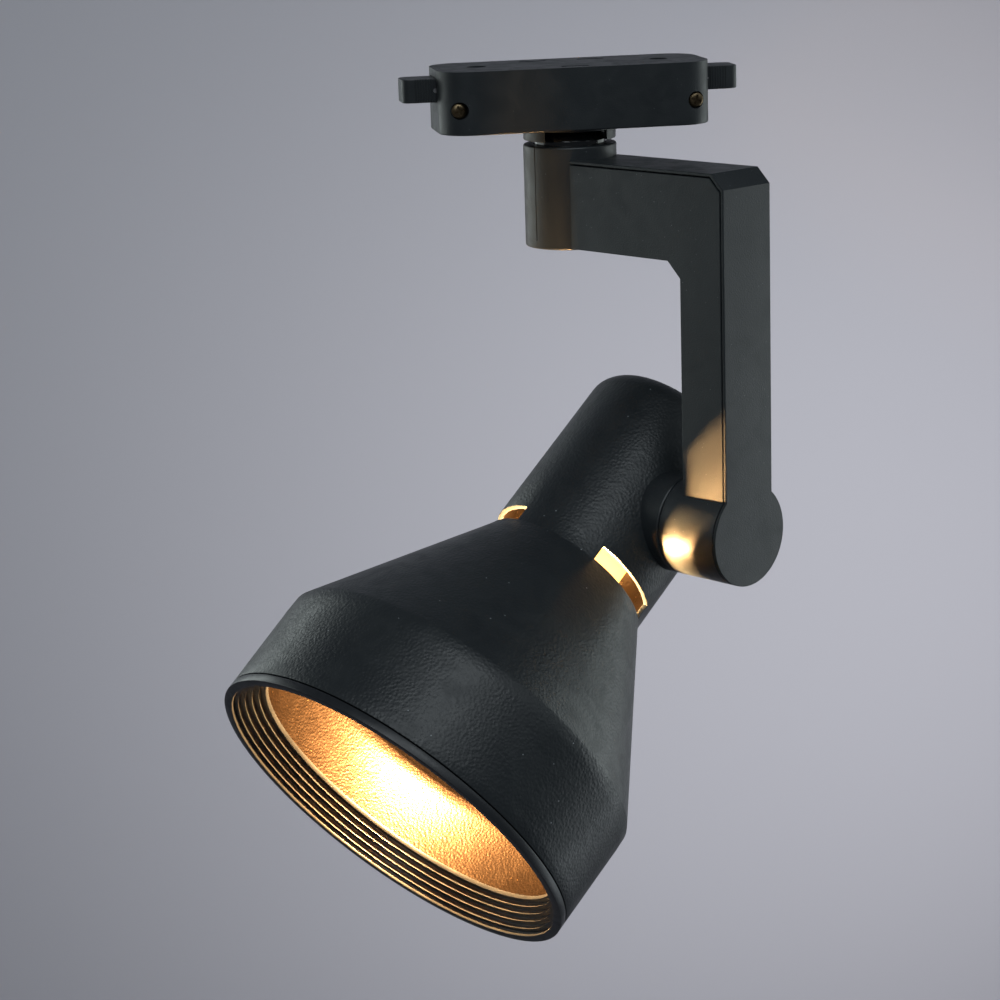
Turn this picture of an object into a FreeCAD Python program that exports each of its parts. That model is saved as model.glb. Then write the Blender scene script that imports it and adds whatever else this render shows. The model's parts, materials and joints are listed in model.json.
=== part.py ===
import FreeCAD, Part
import math
import os
import Sketcher

# Track spotlight: a track adapter, a swivelling cranked arm and a tilting bell shade.
# Row frame: millimetres, origin at the centre of the adapter's top face, +X along the track, +Z up.
# Arm frame: origin at the centre of the barrel's top face, +X along the arm towards the leg.
# Head frame: origin on the tilt axis above the barrel's axis, shade hanging straight down along -Z.

document = FreeCAD.newDocument("track_spotlight")
sheet = document.addObject("Spreadsheet::Sheet", "sizes")

DRIVING = {
    # track adapter
    "adapter_length": 82.6, "adapter_width": 34.5, "adapter_height": 18.8, "adapter_corner": 9.4,
    "adapter_wall": 2.0, "adapter_floor": 2.2, "lid_thickness": 2.0, "fit_gap": 0.2,
    "side_screw_place": 35.9, "side_screw_drop": 11.4, "side_screw_head": 2.3, "side_screw_hole": 2.6,
    # latch tabs
    "tab_reach": 10.2, "tab_width": 12.0, "tab_thick": 7.0, "tab_drop": 2.5, "tab_travel": 4.0,
    "tab_plate": 3.0, "tab_inner": 24.0, "stud_place": 28.0, "stud_window": 3.0,
    # swivel
    "adapter_gap": 5.25, "stem_radius": 5.0, "stem_bore": 3.3, "shaft_clearance": 0.05,
    "collar_radius": 11.2, "stop_outer": 14.1, "stop_inner": 11.5, "stop_height": 3.9,
    # arm
    "barrel_radius": 14.25, "barrel_length": 31.1, "arm_wall": 2.2, "arm_depth": 20.6, "arm_top": 4.0,
    "arm_bottom": 30.7, "arm_reach": 71.0, "leg_width": 17.15, "outer_chamfer": 4.5,
    "inner_chamfer": 4.8, "cover_skin": 0.8, "cover_groove": 0.5, "cover_lip": 1.5, "barrel_seam": 0.8,
    "cover_screw_inset": 4.6,
    # tilt pivot
    "pivot_drop": 112.2, "knuckle_radius": 15.45, "knuckle_ring_start": 48.3, "boss_end": 47.95,
    "bolt_radius": 5.0, "bolt_bore": 3.2,
    # shade
    "head_axis": 16.15, "neck_radius": 27.5, "neck_end": 34.5, "neck_round": 7.0, "flare_start": 30.4,
    "shoulder": 88.1, "shoulder_radius": 60.4, "rim": 122.6, "rim_radius": 60.0, "shell_wall": 1.6,
    "slot_start": 24.9, "slot_height": 5.1, "slot_sweep": 60.0, "lip_height": 2.5, "lip_width": 2.7,
    "rib_pitch": 1.9, "rib_step": 1.1,
    # lamp
    "holder_top": 27.9, "bracket_thick": 1.5, "holder_radius": 16.6, "cap_radius": 13.0, "cap_low": 0.5,
    "globe_radius": 29.0, "globe_centre": 52.0, "globe_join": 35.0, "bulb_neck_radius": 14.6,
    # rest pose, degrees
    "swivel_angle": 55.5, "tilt_angle": 53.2,
}
for row, (alias, number) in enumerate(DRIVING.items(), 1):
    sheet.set("A%d" % row, alias)
    sheet.set("B%d" % row, str(number))
    sheet.setAlias("B%d" % row, alias)
document.recompute()

parts = []


def amount(expression):
    """The number that an expression of the sheet's cells comes to."""
    return float(sheet.evalExpression(expression))


def size(name):
    return amount("sizes." + name)


def tie(thing, **expressions):
    """Bind properties of a feature to expressions of the sheet's cells."""
    for name, expression in expressions.items():
        thing.setExpression(name, expression)
    return thing


def at(thing, x="0", y="0", z="0", axis=None, turn=0):
    """Place a feature with its corner or base centre tied to the sheet, turned about one axis."""
    if axis:
        thing.Placement = FreeCAD.Placement(FreeCAD.Vector(), FreeCAD.Rotation(FreeCAD.Vector(*axis), turn))
    for letter, expression in (("x", x), ("y", y), ("z", z)):
        thing.setExpression(".Placement.Base." + letter, expression)
    return thing


def box(x, y, z):
    """A block between two expressions along each axis."""
    block = document.addObject("Part::Box", "block")
    tie(block, Length="(%s) - (%s)" % (x[1], x[0]), Width="(%s) - (%s)" % (y[1], y[0]),
        Height="(%s) - (%s)" % (z[1], z[0]))
    return at(block, x[0], y[0], z[0])


def upright(radius, low, high, x="0", y="0"):
    """A cylinder along Z."""
    rod = document.addObject("Part::Cylinder", "rod")
    tie(rod, Radius=radius, Height="(%s) - (%s)" % (high, low))
    return at(rod, x, y, low)


def crosswise(radius, start, end, z, y="0"):
    """A cylinder along X."""
    rod = document.addObject("Part::Cylinder", "rod")
    tie(rod, Radius=radius, Height="(%s) - (%s)" % (end, start))
    return at(rod, start, y, z, (0, 1, 0), 90)


def inward(radius, start, end, x, z):
    """A cylinder along Y."""
    rod = document.addObject("Part::Cylinder", "rod")
    tie(rod, Radius=radius, Height="(%s) - (%s)" % (end, start))
    return at(rod, x, start, z, (1, 0, 0), -90)


def fuse(*shapes):
    joined = document.addObject("Part::MultiFuse", "joined")
    joined.Shapes = list(shapes)
    joined.Refine = True
    return joined


def cut(base, *tools):
    for tool in tools:
        result = document.addObject("Part::Cut", "trimmed")
        result.Base = base
        result.Tool = tool
        base = result
    return base


def common(first, second):
    shared = document.addObject("Part::Common", "shared")
    shared.Base = first
    shared.Tool = second
    return shared


def outline(body, role, corners):
    """A closed straight-edged sketch on an origin plane, each corner tied to the sheet."""
    sketch = body.newObject("Sketcher::SketchObject", "outline")
    plane = [item for item in body.Origin.OriginFeatures if item.Role == role][0]
    sketch.AttachmentSupport = [(plane, "")]
    sketch.MapMode = "FlatFace"
    points = [FreeCAD.Vector(amount(across), amount(up), 0) for across, up in corners]
    count = len(points)
    for index, point in enumerate(points):
        sketch.addGeometry(Part.LineSegment(point, points[(index + 1) % count]), False)
    for index in range(count):
        sketch.addConstraint(Sketcher.Constraint("Coincident", index, 2, (index + 1) % count, 1))
    for index, corner in enumerate(corners):
        for kind, expression in zip(("DistanceX", "DistanceY"), corner):
            constraint = sketch.addConstraint(Sketcher.Constraint(kind, index, 1, amount(expression)))
            if "sizes." in expression:
                sketch.setExpression("Constraints[%d]" % constraint, expression)
    return sketch


def prism(corners, depth, role="XZ_Plane"):
    """A body padded evenly to both sides of an origin plane."""
    body = document.addObject("PartDesign::Body", "prism")
    sketch = outline(body, role, corners)
    pad = body.newObject("PartDesign::Pad", "pad")
    pad.Profile = sketch
    pad.Midplane = True
    tie(pad, Length=depth)
    return body


def turned(corners):
    """A body turned about Z; each corner is (radius, height)."""
    body = document.addObject("PartDesign::Body", "turned")
    sketch = outline(body, "XZ_Plane", corners)
    revolution = body.newObject("PartDesign::Revolution", "revolution")
    revolution.Profile = sketch
    revolution.ReferenceAxis = (sketch, ["V_Axis"])
    revolution.Angle = 360
    return body


def rounded(base, radius, chosen):
    """Round the edges of a shape for which chosen(edge) is true."""
    document.recompute()
    fillet = document.addObject("Part::Fillet", "fillet")
    fillet.Base = base
    fillet.Edges = [(number, radius, radius) for number, edge in enumerate(base.Shape.Edges, 1)
                    if chosen(edge)]
    return fillet


def ring_edge(radius, height, along="z"):
    """Test for a circle of one radius at one height."""
    def test(edge):
        curve = edge.Curve
        return (isinstance(curve, Part.Circle) and abs(curve.Radius - radius) < 0.01
                and abs(getattr(curve.Center, along) - height) < 0.01)
    return test


def upright_edge(edge):
    extent = edge.BoundBox
    return extent.ZLength > 1 and extent.XLength < 0.01 and extent.YLength < 0.01


def node(shape, label, place=None):
    """Name a finished sub-part and put it where it belongs in the row frame."""
    shape.Label = label
    if place:
        shape.Placement = place
    parts.append(shape)
    return shape


def solids(shapes, label, place=None):
    """A sub-part of several separate solids."""
    group = document.addObject("Part::Compound", "group")
    group.Links = shapes
    return node(group, label, place)


arm_place = FreeCAD.Placement(FreeCAD.Vector(0, 0, -size("adapter_height") - size("adapter_gap")),
                              FreeCAD.Rotation(FreeCAD.Vector(0, 0, 1), -size("swivel_angle")))
pivot_place = arm_place * FreeCAD.Placement(FreeCAD.Vector(0, 0, -size("pivot_drop")), FreeCAD.Rotation())
head_place = pivot_place * FreeCAD.Placement(FreeCAD.Vector(),
                                             FreeCAD.Rotation(FreeCAD.Vector(1, 0, 0), -size("tilt_angle")))
shade_place = head_place * FreeCAD.Placement(FreeCAD.Vector(size("head_axis"), 0, 0), FreeCAD.Rotation())


# ---------------------------------------------------------------- track adapter

half_length = "sizes.adapter_length / 2"
half_width = "sizes.adapter_width / 2"
floor_top = "-sizes.adapter_height + sizes.adapter_floor"
tab_top = "-sizes.tab_drop"
tab_low = "-sizes.tab_drop - sizes.tab_thick"
tab_guide = ("-sizes.tab_width / 2 - sizes.fit_gap", "sizes.tab_width / 2 + sizes.fit_gap")
screw_height = "-sizes.side_screw_drop"


def lozenge(inset, low, high):
    """A block with rounded upright corners, inset all round from the adapter's outline."""
    block = box(("-%s + (%s)" % (half_length, inset), "%s - (%s)" % (half_length, inset)),
                ("-%s + (%s)" % (half_width, inset), "%s - (%s)" % (half_width, inset)), (low, high))
    return rounded(block, size("adapter_corner") - amount(inset), upright_edge)


def side_screw_places():
    return ["-sizes.side_screw_place", "sizes.side_screw_place"]


def make_adapter_housing():
    """Moulded box with a floor, open at the top, with a slot for a tab in each end."""
    shell = rounded(lozenge("0", "-sizes.adapter_height", "0"), 0.5,
                    lambda edge: abs(edge.BoundBox.ZMax + size("adapter_height")) < 0.01)
    shell = cut(shell, lozenge("sizes.adapter_wall", floor_top, "1"))
    pillars = [common(box(("%s - 3.6" % place, "%s + 3.6" % place), ("-%s" % half_width, "-10.4"),
                          ("%s - 3.6" % screw_height, "%s + 3.6" % screw_height)),
                      lozenge("0.1", "-sizes.adapter_height + 0.1", "-0.1")) for place in side_screw_places()]
    shell = fuse(shell, *pillars)
    tools = [box(("-50", "50"), tab_guide, (tab_low + " - sizes.fit_gap", tab_top + " + sizes.fit_gap")),
             upright("sizes.stem_radius + sizes.shaft_clearance", "-20", floor_top + " + 1")]
    for place in side_screw_places():
        tools.append(inward("sizes.side_screw_hole", "-20", "-14.2", place, screw_height))
        tools.append(inward("1.6", "-15", "-10", place, screw_height))
    node(cut(shell, *tools), "adapter_housing")


def contact_places():
    return {"live": ("-9", "10.5"), "neutral": ("9", "10.5"), "earth": ("0", "-12")}


def make_adapter_lid():
    """Flush lid that meets the track, with stud windows and three contact slots."""
    tools = [upright("sizes.stud_window", "-5", "1", "-sizes.stud_place"),
             upright("sizes.stud_window", "-5", "1", "sizes.stud_place")]
    for x, y in contact_places().values():
        tools.append(box((x + " - 4.2", x + " + 4.2"), (y + " - 1.1", y + " + 1.1"), ("-5", "1")))
    lid = lozenge("sizes.adapter_wall + 0.1", "-sizes.lid_thickness", "0")
    node(cut(lid, *tools), "adapter_lid")


def make_contact_carrier():
    """Insulating block that fills the housing and guides the tabs."""
    core = fuse(box(("-31", "31"), ("-14.8", "14.8"), (floor_top, "-sizes.lid_thickness")),
                box(("-38.5", "38.5"), ("-10.2", "10.2"), (floor_top, "-sizes.lid_thickness")))
    tools = [upright("9", "-20", "0")]
    for low, high in (("-50", "-17"), ("17", "50")):
        tools.append(box((low, high), tab_guide, (tab_low + " - sizes.fit_gap", "0")))
    for low, high in (("-50", "-32"), ("32", "50")):
        tools.append(box((low, high), ("-7.8", "7.8"), (tab_low + " - sizes.fit_gap", "0")))
    for x, y in contact_places().values():
        tools.append(box((x + " - 4.4", x + " + 4.4"), (y + " - 1.9", y + " + 1.9"), ("-13", "0")))
    for place in side_screw_places():
        tools.append(inward("1.5", "-12", "-6.5", place, screw_height))
    node(cut(core, *tools), "contact_carrier")


def make_contacts():
    """Sprung U clips that grip the track's blades."""
    for name, (x, y) in contact_places().items():
        clip = box((x + " - 4", x + " + 4"), (y + " - 1.5", y + " + 1.5"), ("-12.9", "-2.6"))
        slot = box((x + " - 5", x + " + 5"), (y + " - 1", y + " + 1"), ("-12.3", "-2"))
        node(cut(clip, slot), name + "_contact")


def make_side_screws():
    """Two cross-recessed screws that hold the carrier in the housing."""
    screws = []
    for place in side_screw_places():
        head = inward("sizes.side_screw_head", "-15.9", "-14.2", place, screw_height)
        shank = inward("1.45", "-14.3", "-6.7", place, screw_height)
        blades = [box((place + " - 1.5", place + " + 1.5"), ("-16.5", "-15.1"),
                      (screw_height + " - 0.3", screw_height + " + 0.3")),
                  box((place + " - 0.3", place + " + 0.3"), ("-16.5", "-15.1"),
                      (screw_height + " - 1.5", screw_height + " + 1.5"))]
        screws.append(cut(fuse(head, shank), *blades))
    solids(screws, "adapter_side_screws")


def make_latch_tab(side, label):
    """Sliding thumb tab: a ribbed nose outside, a shoulder behind the wall and a keyhole plate inside."""
    wall_inside = "%s - sizes.adapter_wall" % half_length
    nose_end = "%s + sizes.tab_reach" % half_length
    nose = rounded(box(("%s - 2.5" % wall_inside, nose_end), ("-sizes.tab_width / 2", "sizes.tab_width / 2"),
                       (tab_low, tab_top)), 2.6,
                   lambda edge: upright_edge(edge) and edge.BoundBox.XMin > amount(nose_end) - 0.1)
    shoulder = box((wall_inside + " - 2.7", wall_inside + " - 0.1"), ("-7.5", "7.5"), (tab_low, tab_top))
    plate = box(("sizes.tab_inner", wall_inside + " - 1"), ("-5.8", "5.8"),
                ("-sizes.tab_drop - sizes.tab_plate", tab_top))
    tab = fuse(nose, shoulder, plate)
    grooves = []
    for rib in range(7):
        start = "%s + 1.2 + %s" % (half_length, rib * 0.8)
        for low, high in (("-7", "-sizes.tab_width / 2 + 0.3"), ("sizes.tab_width / 2 - 0.3", "7")):
            grooves.append(box((start, start + " + 0.4"), (low, high), ("-10", "-1")))
    wide_end = "sizes.stud_place + sizes.tab_travel"
    keyhole = [box(("sizes.stud_place - 3", wide_end), ("-1.6", "1.6"), ("-8", "0")),
               upright("2.7", "-8", "-1", wide_end)]
    pin_hole = inward("0.7", "-8", "8", half_length + " + 0.2", "-6")
    tab = cut(tab, *grooves, *keyhole, pin_hole)
    half_turn = FreeCAD.Rotation(FreeCAD.Vector(0, 0, 1), 0 if side > 0 else 180)
    turn = FreeCAD.Placement(FreeCAD.Vector(), half_turn)
    node(tab, "latch_tab_" + label, turn)
    pin = inward("0.7", "-sizes.tab_width / 2", "sizes.tab_width / 2", half_length + " + 0.2", "-6")
    node(fuse(pin, inward("0.7", "-1", "1", half_length + " + 0.2", "-6")), "latch_pin_" + label, turn)


def make_latch_spring(side, label):
    """Compression spring behind a tab: five closed coils in line."""
    coils = []
    for coil in range(5):
        ring = document.addObject("Part::Torus", "coil")
        ring.Radius1 = 1.7
        ring.Radius2 = 0.32
        middle = side * (17.4 + 1.54 * coil)
        coils.append(at(ring, str(middle), "0", "-sizes.tab_drop - sizes.tab_plate / 2 - 1.2", (0, 1, 0), 90))
    solids(coils, "latch_spring_" + label)


make_adapter_housing()
make_adapter_lid()
make_contact_carrier()
make_contacts()
make_side_screws()
for side, label in ((-1, "left"), (1, "right")):
    make_latch_tab(side, label)
    make_latch_spring(side, label)


# ---------------------------------------------------------------- swivel

adapter_low = "-sizes.adapter_height"
barrel_top = "-sizes.adapter_height - sizes.adapter_gap"
disc_low = barrel_top + " - 3"


def hexagon(across, low, high):
    """A nut blank along Z."""
    blank = document.addObject("Part::Prism", "hexagon")
    blank.Polygon = 6
    blank.Circumradius = across / math.sqrt(3)
    tie(blank, Height="(%s) - (%s)" % (high, low))
    return at(blank, "0", "0", low)


def washer(outer, bore, low, high):
    return cut(upright(outer, low, high), upright(bore, low + " - 1", high + " + 1"))


def make_swivel():
    """Stationary stem, its nuts and washers, and the stop ring under the adapter."""
    stem = washer("sizes.stem_radius", "sizes.stem_bore", disc_low + " - 7.6", "-9.5")
    node(stem, "swivel_stem")
    ring = cut(upright("sizes.stop_outer", adapter_low + " - sizes.stop_height", adapter_low),
               upright("sizes.stop_inner", adapter_low + " - 8", adapter_low + " - 0.8"),
               upright("sizes.stem_radius + sizes.shaft_clearance", "-30", "0"),
               box(("-9.5", "9.5"), ("-20", "20"), (adapter_low + " - 8", adapter_low + " - 0.8")))
    node(ring, "stop_ring")
    bore = "sizes.stem_radius"
    node(cut(hexagon(14, floor_top, floor_top + " + 4.5"), upright(bore, "-30", "0")), "stem_nut_upper")
    node(washer("8", "sizes.stem_radius", disc_low + " - 1.1", disc_low + " - 0.1"), "swivel_friction_washer")
    key = fuse(upright("7.5", disc_low + " - 2.3", disc_low + " - 1.1"),
               box(("6", "11"), ("-0.8", "0.8"), (disc_low + " - 2.3", disc_low + " - 1.1")))
    node(cut(key, upright(bore, "-60", "0")), "stop_washer")
    lower_nut = cut(hexagon(14, disc_low + " - 6.3", disc_low + " - 2.3"), upright(bore, "-60", "0"))
    node(lower_nut, "stem_nut_lower")
    collar = turned([("sizes.stem_radius + 0.3", "0"), ("sizes.collar_radius", "0"),
                     ("sizes.collar_radius", "1.3"), ("sizes.collar_radius - 0.9", "2.9"),
                     ("sizes.collar_radius - 2.8", "4.1"),
                     ("sizes.stem_radius + 0.3", "4.1")])
    node(collar, "swivel_collar", arm_place)


make_swivel()


# ---------------------------------------------------------------- arm

skin_back = "(sizes.cover_skin + sizes.cover_groove)"
leg_inner = "sizes.arm_reach - sizes.leg_width"
half_depth = "sizes.arm_depth / 2"
chamfer_shift = "%s * tan(22.5)" % skin_back
under_screw = "-sizes.barrel_radius + sizes.cover_screw_inset"


def crank(top, reach, chamfer, bottom, leg, inner_chamfer, foot):
    """Corners of the cranked outline: along the beam, round the elbow and down the leg."""
    return [("6", "-(%s)" % top), ("%s - %s" % (reach, chamfer), "-(%s)" % top),
            (reach, "-(%s) - (%s)" % (top, chamfer)), (reach, "-(%s)" % foot), (leg, "-(%s)" % foot),
            (leg, "-(%s) - (%s)" % (bottom, inner_chamfer)),
            ("%s - (%s)" % (leg, inner_chamfer), "-(%s)" % bottom), ("6", "-(%s)" % bottom)]


def make_arm_body():
    """Die-cast channel: half barrel, cranked beam and knuckle, open along its top and outer side."""
    beam = prism(crank("sizes.arm_top + " + skin_back, "(sizes.arm_reach - %s)" % skin_back,
                       "(sizes.outer_chamfer - %s)" % chamfer_shift, "sizes.arm_bottom", leg_inner,
                       "sizes.inner_chamfer", "sizes.pivot_drop"), "sizes.arm_depth")
    channel = prism(crank("(sizes.arm_top - 2)", "(sizes.arm_reach + 2)", "sizes.outer_chamfer",
                          "sizes.arm_bottom - sizes.arm_wall", "(%s + sizes.arm_wall)" % leg_inner,
                          "sizes.inner_chamfer", "sizes.pivot_drop"), "sizes.arm_depth - 2 * sizes.arm_wall")
    knuckle = crosswise("sizes.knuckle_radius", leg_inner, "sizes.arm_reach - " + skin_back,
                        "-sizes.pivot_drop")
    cavity = crosswise("sizes.knuckle_radius - sizes.arm_wall", leg_inner + " + sizes.arm_wall",
                       "sizes.arm_reach + 5", "-sizes.pivot_drop")
    barrel = rounded(upright("sizes.barrel_radius", "-sizes.barrel_length", "0"), 0.6, lambda edge: True)
    hollow = upright("sizes.barrel_radius - sizes.arm_wall", "-sizes.barrel_length + 2.4", "-3")
    cover_room = cut(box(("-20", "-sizes.barrel_seam"), ("-20", "20"), ("-sizes.barrel_length + 2.4", "1")),
                     upright("sizes.barrel_radius - sizes.arm_wall - 0.1", "-3", "2"))
    passage = box(("2", "25"), ("-%s + sizes.arm_wall" % half_depth, "%s - sizes.arm_wall" % half_depth),
                  ("-sizes.arm_bottom + sizes.arm_wall", "-sizes.arm_top - 2.4"))
    stop_rib = box(("-11.5", "-8.4"), ("-0.8", "0.8"), ("-5.4", "-2.5"))
    barrel = cut(barrel, hollow, cover_room)
    solid_arm = fuse(cut(fuse(beam, knuckle), upright("sizes.barrel_radius - 1", "-40", "10")), barrel)
    body = cut(solid_arm, channel_clear(channel), cavity, passage,
               upright("sizes.stem_radius + sizes.shaft_clearance", "-10", "1"),
               crosswise("sizes.bolt_radius + sizes.shaft_clearance", "40", "60", "-sizes.pivot_drop"),
               upright("1.4", "-40", "-20", under_screw),
               upright("2.7", "-40", "-sizes.barrel_length + 1.4", under_screw))
    for x, z in back_screw_places():
        body = cut(body, inward("1.6", "5", "12", x, z), inward("2.7", half_depth + " - 1.3", "12", x, z))
    node(fuse(body, stop_rib), "arm_body", arm_place)


def channel_clear(channel):
    """The channel's pocket, kept clear of the barrel's outer wall."""
    return cut(channel, upright("sizes.barrel_radius - 0.01", "-60", "10"))


def back_screw_places():
    """Where the cover's two screws enter the channel's back wall."""
    return [("sizes.arm_reach - 30", "-sizes.arm_top - 7.5"), ("sizes.arm_reach - 8", "-62")]


def make_arm_cover():
    """Cranked cover over the arm's top and outer side, ending in the knuckle's round cap."""
    outer = crank("sizes.arm_top", "sizes.arm_reach", "sizes.outer_chamfer", "sizes.arm_bottom", leg_inner,
                  "sizes.inner_chamfer", "sizes.pivot_drop")
    inset = "sizes.cover_skin"
    under = crank("sizes.arm_top + " + inset, "(sizes.arm_reach - %s)" % inset,
                  "(sizes.outer_chamfer - %s * tan(22.5))" % inset, "sizes.arm_bottom + 5", "-5", "1",
                  "sizes.pivot_drop + 5")
    skin = cut(prism(outer, "sizes.arm_depth"), prism(under, "60"))
    disc = crosswise("sizes.knuckle_radius", "sizes.arm_reach - sizes.cover_skin", "sizes.arm_reach",
                     "-sizes.pivot_drop")
    lip_top = "sizes.cover_skin + sizes.cover_groove + sizes.cover_lip"
    lip_outer = crank("sizes.arm_top + 0.4", "(sizes.arm_reach - 0.4)", "sizes.outer_chamfer",
                      "sizes.arm_bottom", leg_inner, "sizes.inner_chamfer", "sizes.pivot_drop")
    lip_under = crank("sizes.arm_top + " + lip_top, "(sizes.arm_reach - (%s))" % lip_top,
                      "(sizes.outer_chamfer - (%s) * tan(22.5))" % lip_top, "sizes.arm_bottom + 5", "-5", "1",
                      "sizes.pivot_drop + 5")
    lip = cut(prism(lip_outer, "sizes.arm_depth - 2 * sizes.arm_wall - 0.2"), prism(lip_under, "60"))
    lip_disc = crosswise("sizes.knuckle_radius - sizes.arm_wall - 0.1", "sizes.arm_reach - (%s)" % lip_top,
                         "sizes.arm_reach - 0.2", "-sizes.pivot_drop")
    (x_top, z_top), (x_side, z_side) = back_screw_places()
    by_back_wall = ("3.6", half_depth + " - sizes.arm_wall - 0.1")
    blocks = [box((x_top + " - 3", x_top + " + 3"), by_back_wall, (z_top + " - 3", "-sizes.arm_top - 0.5")),
              box((x_side + " - 3", "sizes.arm_reach - 0.5"), by_back_wall,
                  (z_side + " - 3", z_side + " + 3"))]
    cover = cut(fuse(skin, disc, lip, lip_disc, *blocks), upright("sizes.barrel_radius + 0.1", "-60", "10"))
    for x, z in back_screw_places():
        cover = cut(cover, inward("1.25", "4.2", "12", x, z))
    node(cover, "arm_cover", arm_place)


def make_barrel_cover():
    """Half-round shell on the free side of the barrel, screwed from below."""
    seam = "-sizes.barrel_seam - 0.35"
    shell = cut(upright("sizes.barrel_radius", "-sizes.barrel_length + 2.45", "0"),
                upright("sizes.barrel_radius - sizes.arm_wall", "-60", "10"),
                box((seam, "20"), ("-20", "20"), ("-60", "10")))
    boss = upright("3", "-sizes.barrel_length + 2.45", "-18", under_screw)
    cover = cut(fuse(shell, boss), upright("1.25", "-40", "-20", under_screw))
    node(cover, "barrel_cover", arm_place)
    head = upright("2.5", "-sizes.barrel_length + 0.1", "-sizes.barrel_length + 1.4", under_screw)
    shank = upright("1.2", "-sizes.barrel_length + 1.3", "-sizes.barrel_length + 8", under_screw)
    slot = box((under_screw + " - 1.5", under_screw + " + 1.5"), ("-0.3", "0.3"),
               ("-sizes.barrel_length - 1", "-sizes.barrel_length + 0.8"))
    node(cut(fuse(head, shank), slot), "barrel_cover_screw", arm_place)


def make_cover_screws():
    screws = []
    for x, z in back_screw_places():
        head = inward("2.5", half_depth + " - 1.3", half_depth + " - 0.1", x, z)
        shank = inward("1.2", "4.4", half_depth + " - 1.2", x, z)
        slot = box((x + " - 1.5", x + " + 1.5"), (half_depth + " - 0.7", "12"), (z + " - 0.3", z + " + 0.3"))
        screws.append(cut(fuse(head, shank), slot))
    solids(screws, "arm_cover_screws", arm_place)


def bent_path(corners, bend):
    """Straight runs joined by tangent quarter-turn arcs of one radius."""
    edges = []
    start = corners[0]
    for before, corner, after in zip(corners, corners[1:], corners[2:]):
        into = (corner - before).normalize()
        out = (after - corner).normalize()
        first = corner - into * bend
        last = corner + out * bend
        middle = corner + (out - into) * bend * (1 - math.sqrt(0.5))
        edges.append(Part.LineSegment(start, first).toShape())
        edges.append(Part.Arc(first, middle, last).toShape())
        start = last
    edges.append(Part.LineSegment(start, corners[-1]).toShape())
    return Part.Wire(edges)


def arm_lead_path(offset):
    """Down the barrel, along the beam, down the leg and round into the hollow bolt."""
    beam_height = -size("arm_bottom") + size("arm_wall") + 4
    past_bolt = size("arm_reach") - 4.7
    inside_bolt = size("arm_reach") - 10.5
    stops = [(0, -11), (0, beam_height), (past_bolt, beam_height), (past_bolt, -size("pivot_drop")),
             (inside_bolt, -size("pivot_drop"))]
    return bent_path([FreeCAD.Vector(x, offset, z) for x, z in stops], 4.0)


def head_lead_path(offset):
    """Out of the bolt's head, up beside the lampholder and down through the bracket's hole."""
    over_bracket = amount("sizes.neck_end - sizes.shell_wall - 1.7")
    beside_holder = size("head_axis") + size("holder_radius") + 1.5
    hole = size("head_axis") + 10
    stops = [(50, 0), (beside_holder, 0), (beside_holder, over_bracket), (hole, over_bracket),
             (hole, size("holder_top") + 0.1)]
    return bent_path([FreeCAD.Vector(x, offset, z) for x, z in stops], 2.5)


def make_leads(label, radius, offsets, path, place):
    """Insulated leads swept along their route, one solid each."""
    leads = []
    for offset in offsets:
        route = path(offset)
        first = route.Edges[0]
        start = first.valueAt(first.FirstParameter)
        circle = Part.Circle(start, first.tangentAt(first.FirstParameter), radius).toShape()
        leads.append(route.makePipeShell([Part.Wire([circle])], True, False))
    feature = document.addObject("Part::Feature", label)
    feature.Shape = Part.makeCompound(leads)
    node(feature, label, place)


make_arm_body()
make_arm_cover()
make_barrel_cover()
make_cover_screws()
make_leads("arm_leads", 0.95, (-2.1, 0.0, 2.1), arm_lead_path, arm_place)


# ---------------------------------------------------------------- tilt pivot

def make_pivot():
    """Knuckle ring on the arm, boss on the shade and the hollow bolt that joins them."""
    bore = "sizes.bolt_radius + sizes.shaft_clearance"
    ring = rounded(crosswise("sizes.knuckle_radius", "sizes.knuckle_ring_start", leg_inner, "0"), 0.5,
                   ring_edge(size("knuckle_radius"), size("knuckle_ring_start"), "x"))
    node(cut(ring, crosswise(bore, "30", "60", "0")), "knuckle_ring", pivot_place)
    boss = rounded(crosswise("sizes.knuckle_radius", "30", "sizes.boss_end", "0"), 0.8,
                   ring_edge(size("knuckle_radius"), size("boss_end"), "x"))
    boss = cut(boss, upright("sizes.neck_radius + 0.02", "-40", "40", "sizes.head_axis"),
               crosswise(bore, "20", "60", "0"))
    node(boss, "head_boss", head_place)
    bolt = fuse(crosswise("sizes.bolt_radius", "38", "64.2", "0"), crosswise("8", "35.8", "38.2", "0"))
    node(cut(bolt, crosswise("sizes.bolt_bore", "30", "70", "0")), "pivot_bolt", head_place)
    spacer = cut(crosswise("8", "38.2", "sizes.head_axis + sizes.neck_radius - 1", "0"),
                 crosswise("sizes.bolt_radius", "30", "60", "0"))
    inside = upright("sizes.neck_radius - sizes.shell_wall - 0.02", "-40", "40", "sizes.head_axis")
    node(common(spacer, inside), "pivot_saddle", head_place)
    wall = leg_inner + " + sizes.arm_wall"
    disc = crosswise("9", wall + " + 0.1", wall + " + 1.1", "0")
    node(cut(disc, crosswise("sizes.bolt_radius", "40", "70", "0")), "pivot_friction_washer", head_place)
    spring = crosswise("8", wall + " + 1.1", wall + " + 2.3", "0")
    node(cut(spring, crosswise("sizes.bolt_radius", "40", "70", "0")), "pivot_spring_washer", head_place)
    nut = document.addObject("Part::Prism", "hexagon")
    nut.Polygon = 6
    nut.Circumradius = 14 / math.sqrt(3)
    nut.Height = 4.2
    at(nut, wall + " + 2.3", "0", "0", (0, 1, 0), 90)
    node(cut(nut, crosswise("sizes.bolt_radius", "40", "70", "0")), "pivot_nut", head_place)


make_pivot()
make_leads("head_leads", 0.95, (-2.0, 0.0, 2.0), head_lead_path, head_place)


# ---------------------------------------------------------------- shade

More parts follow.
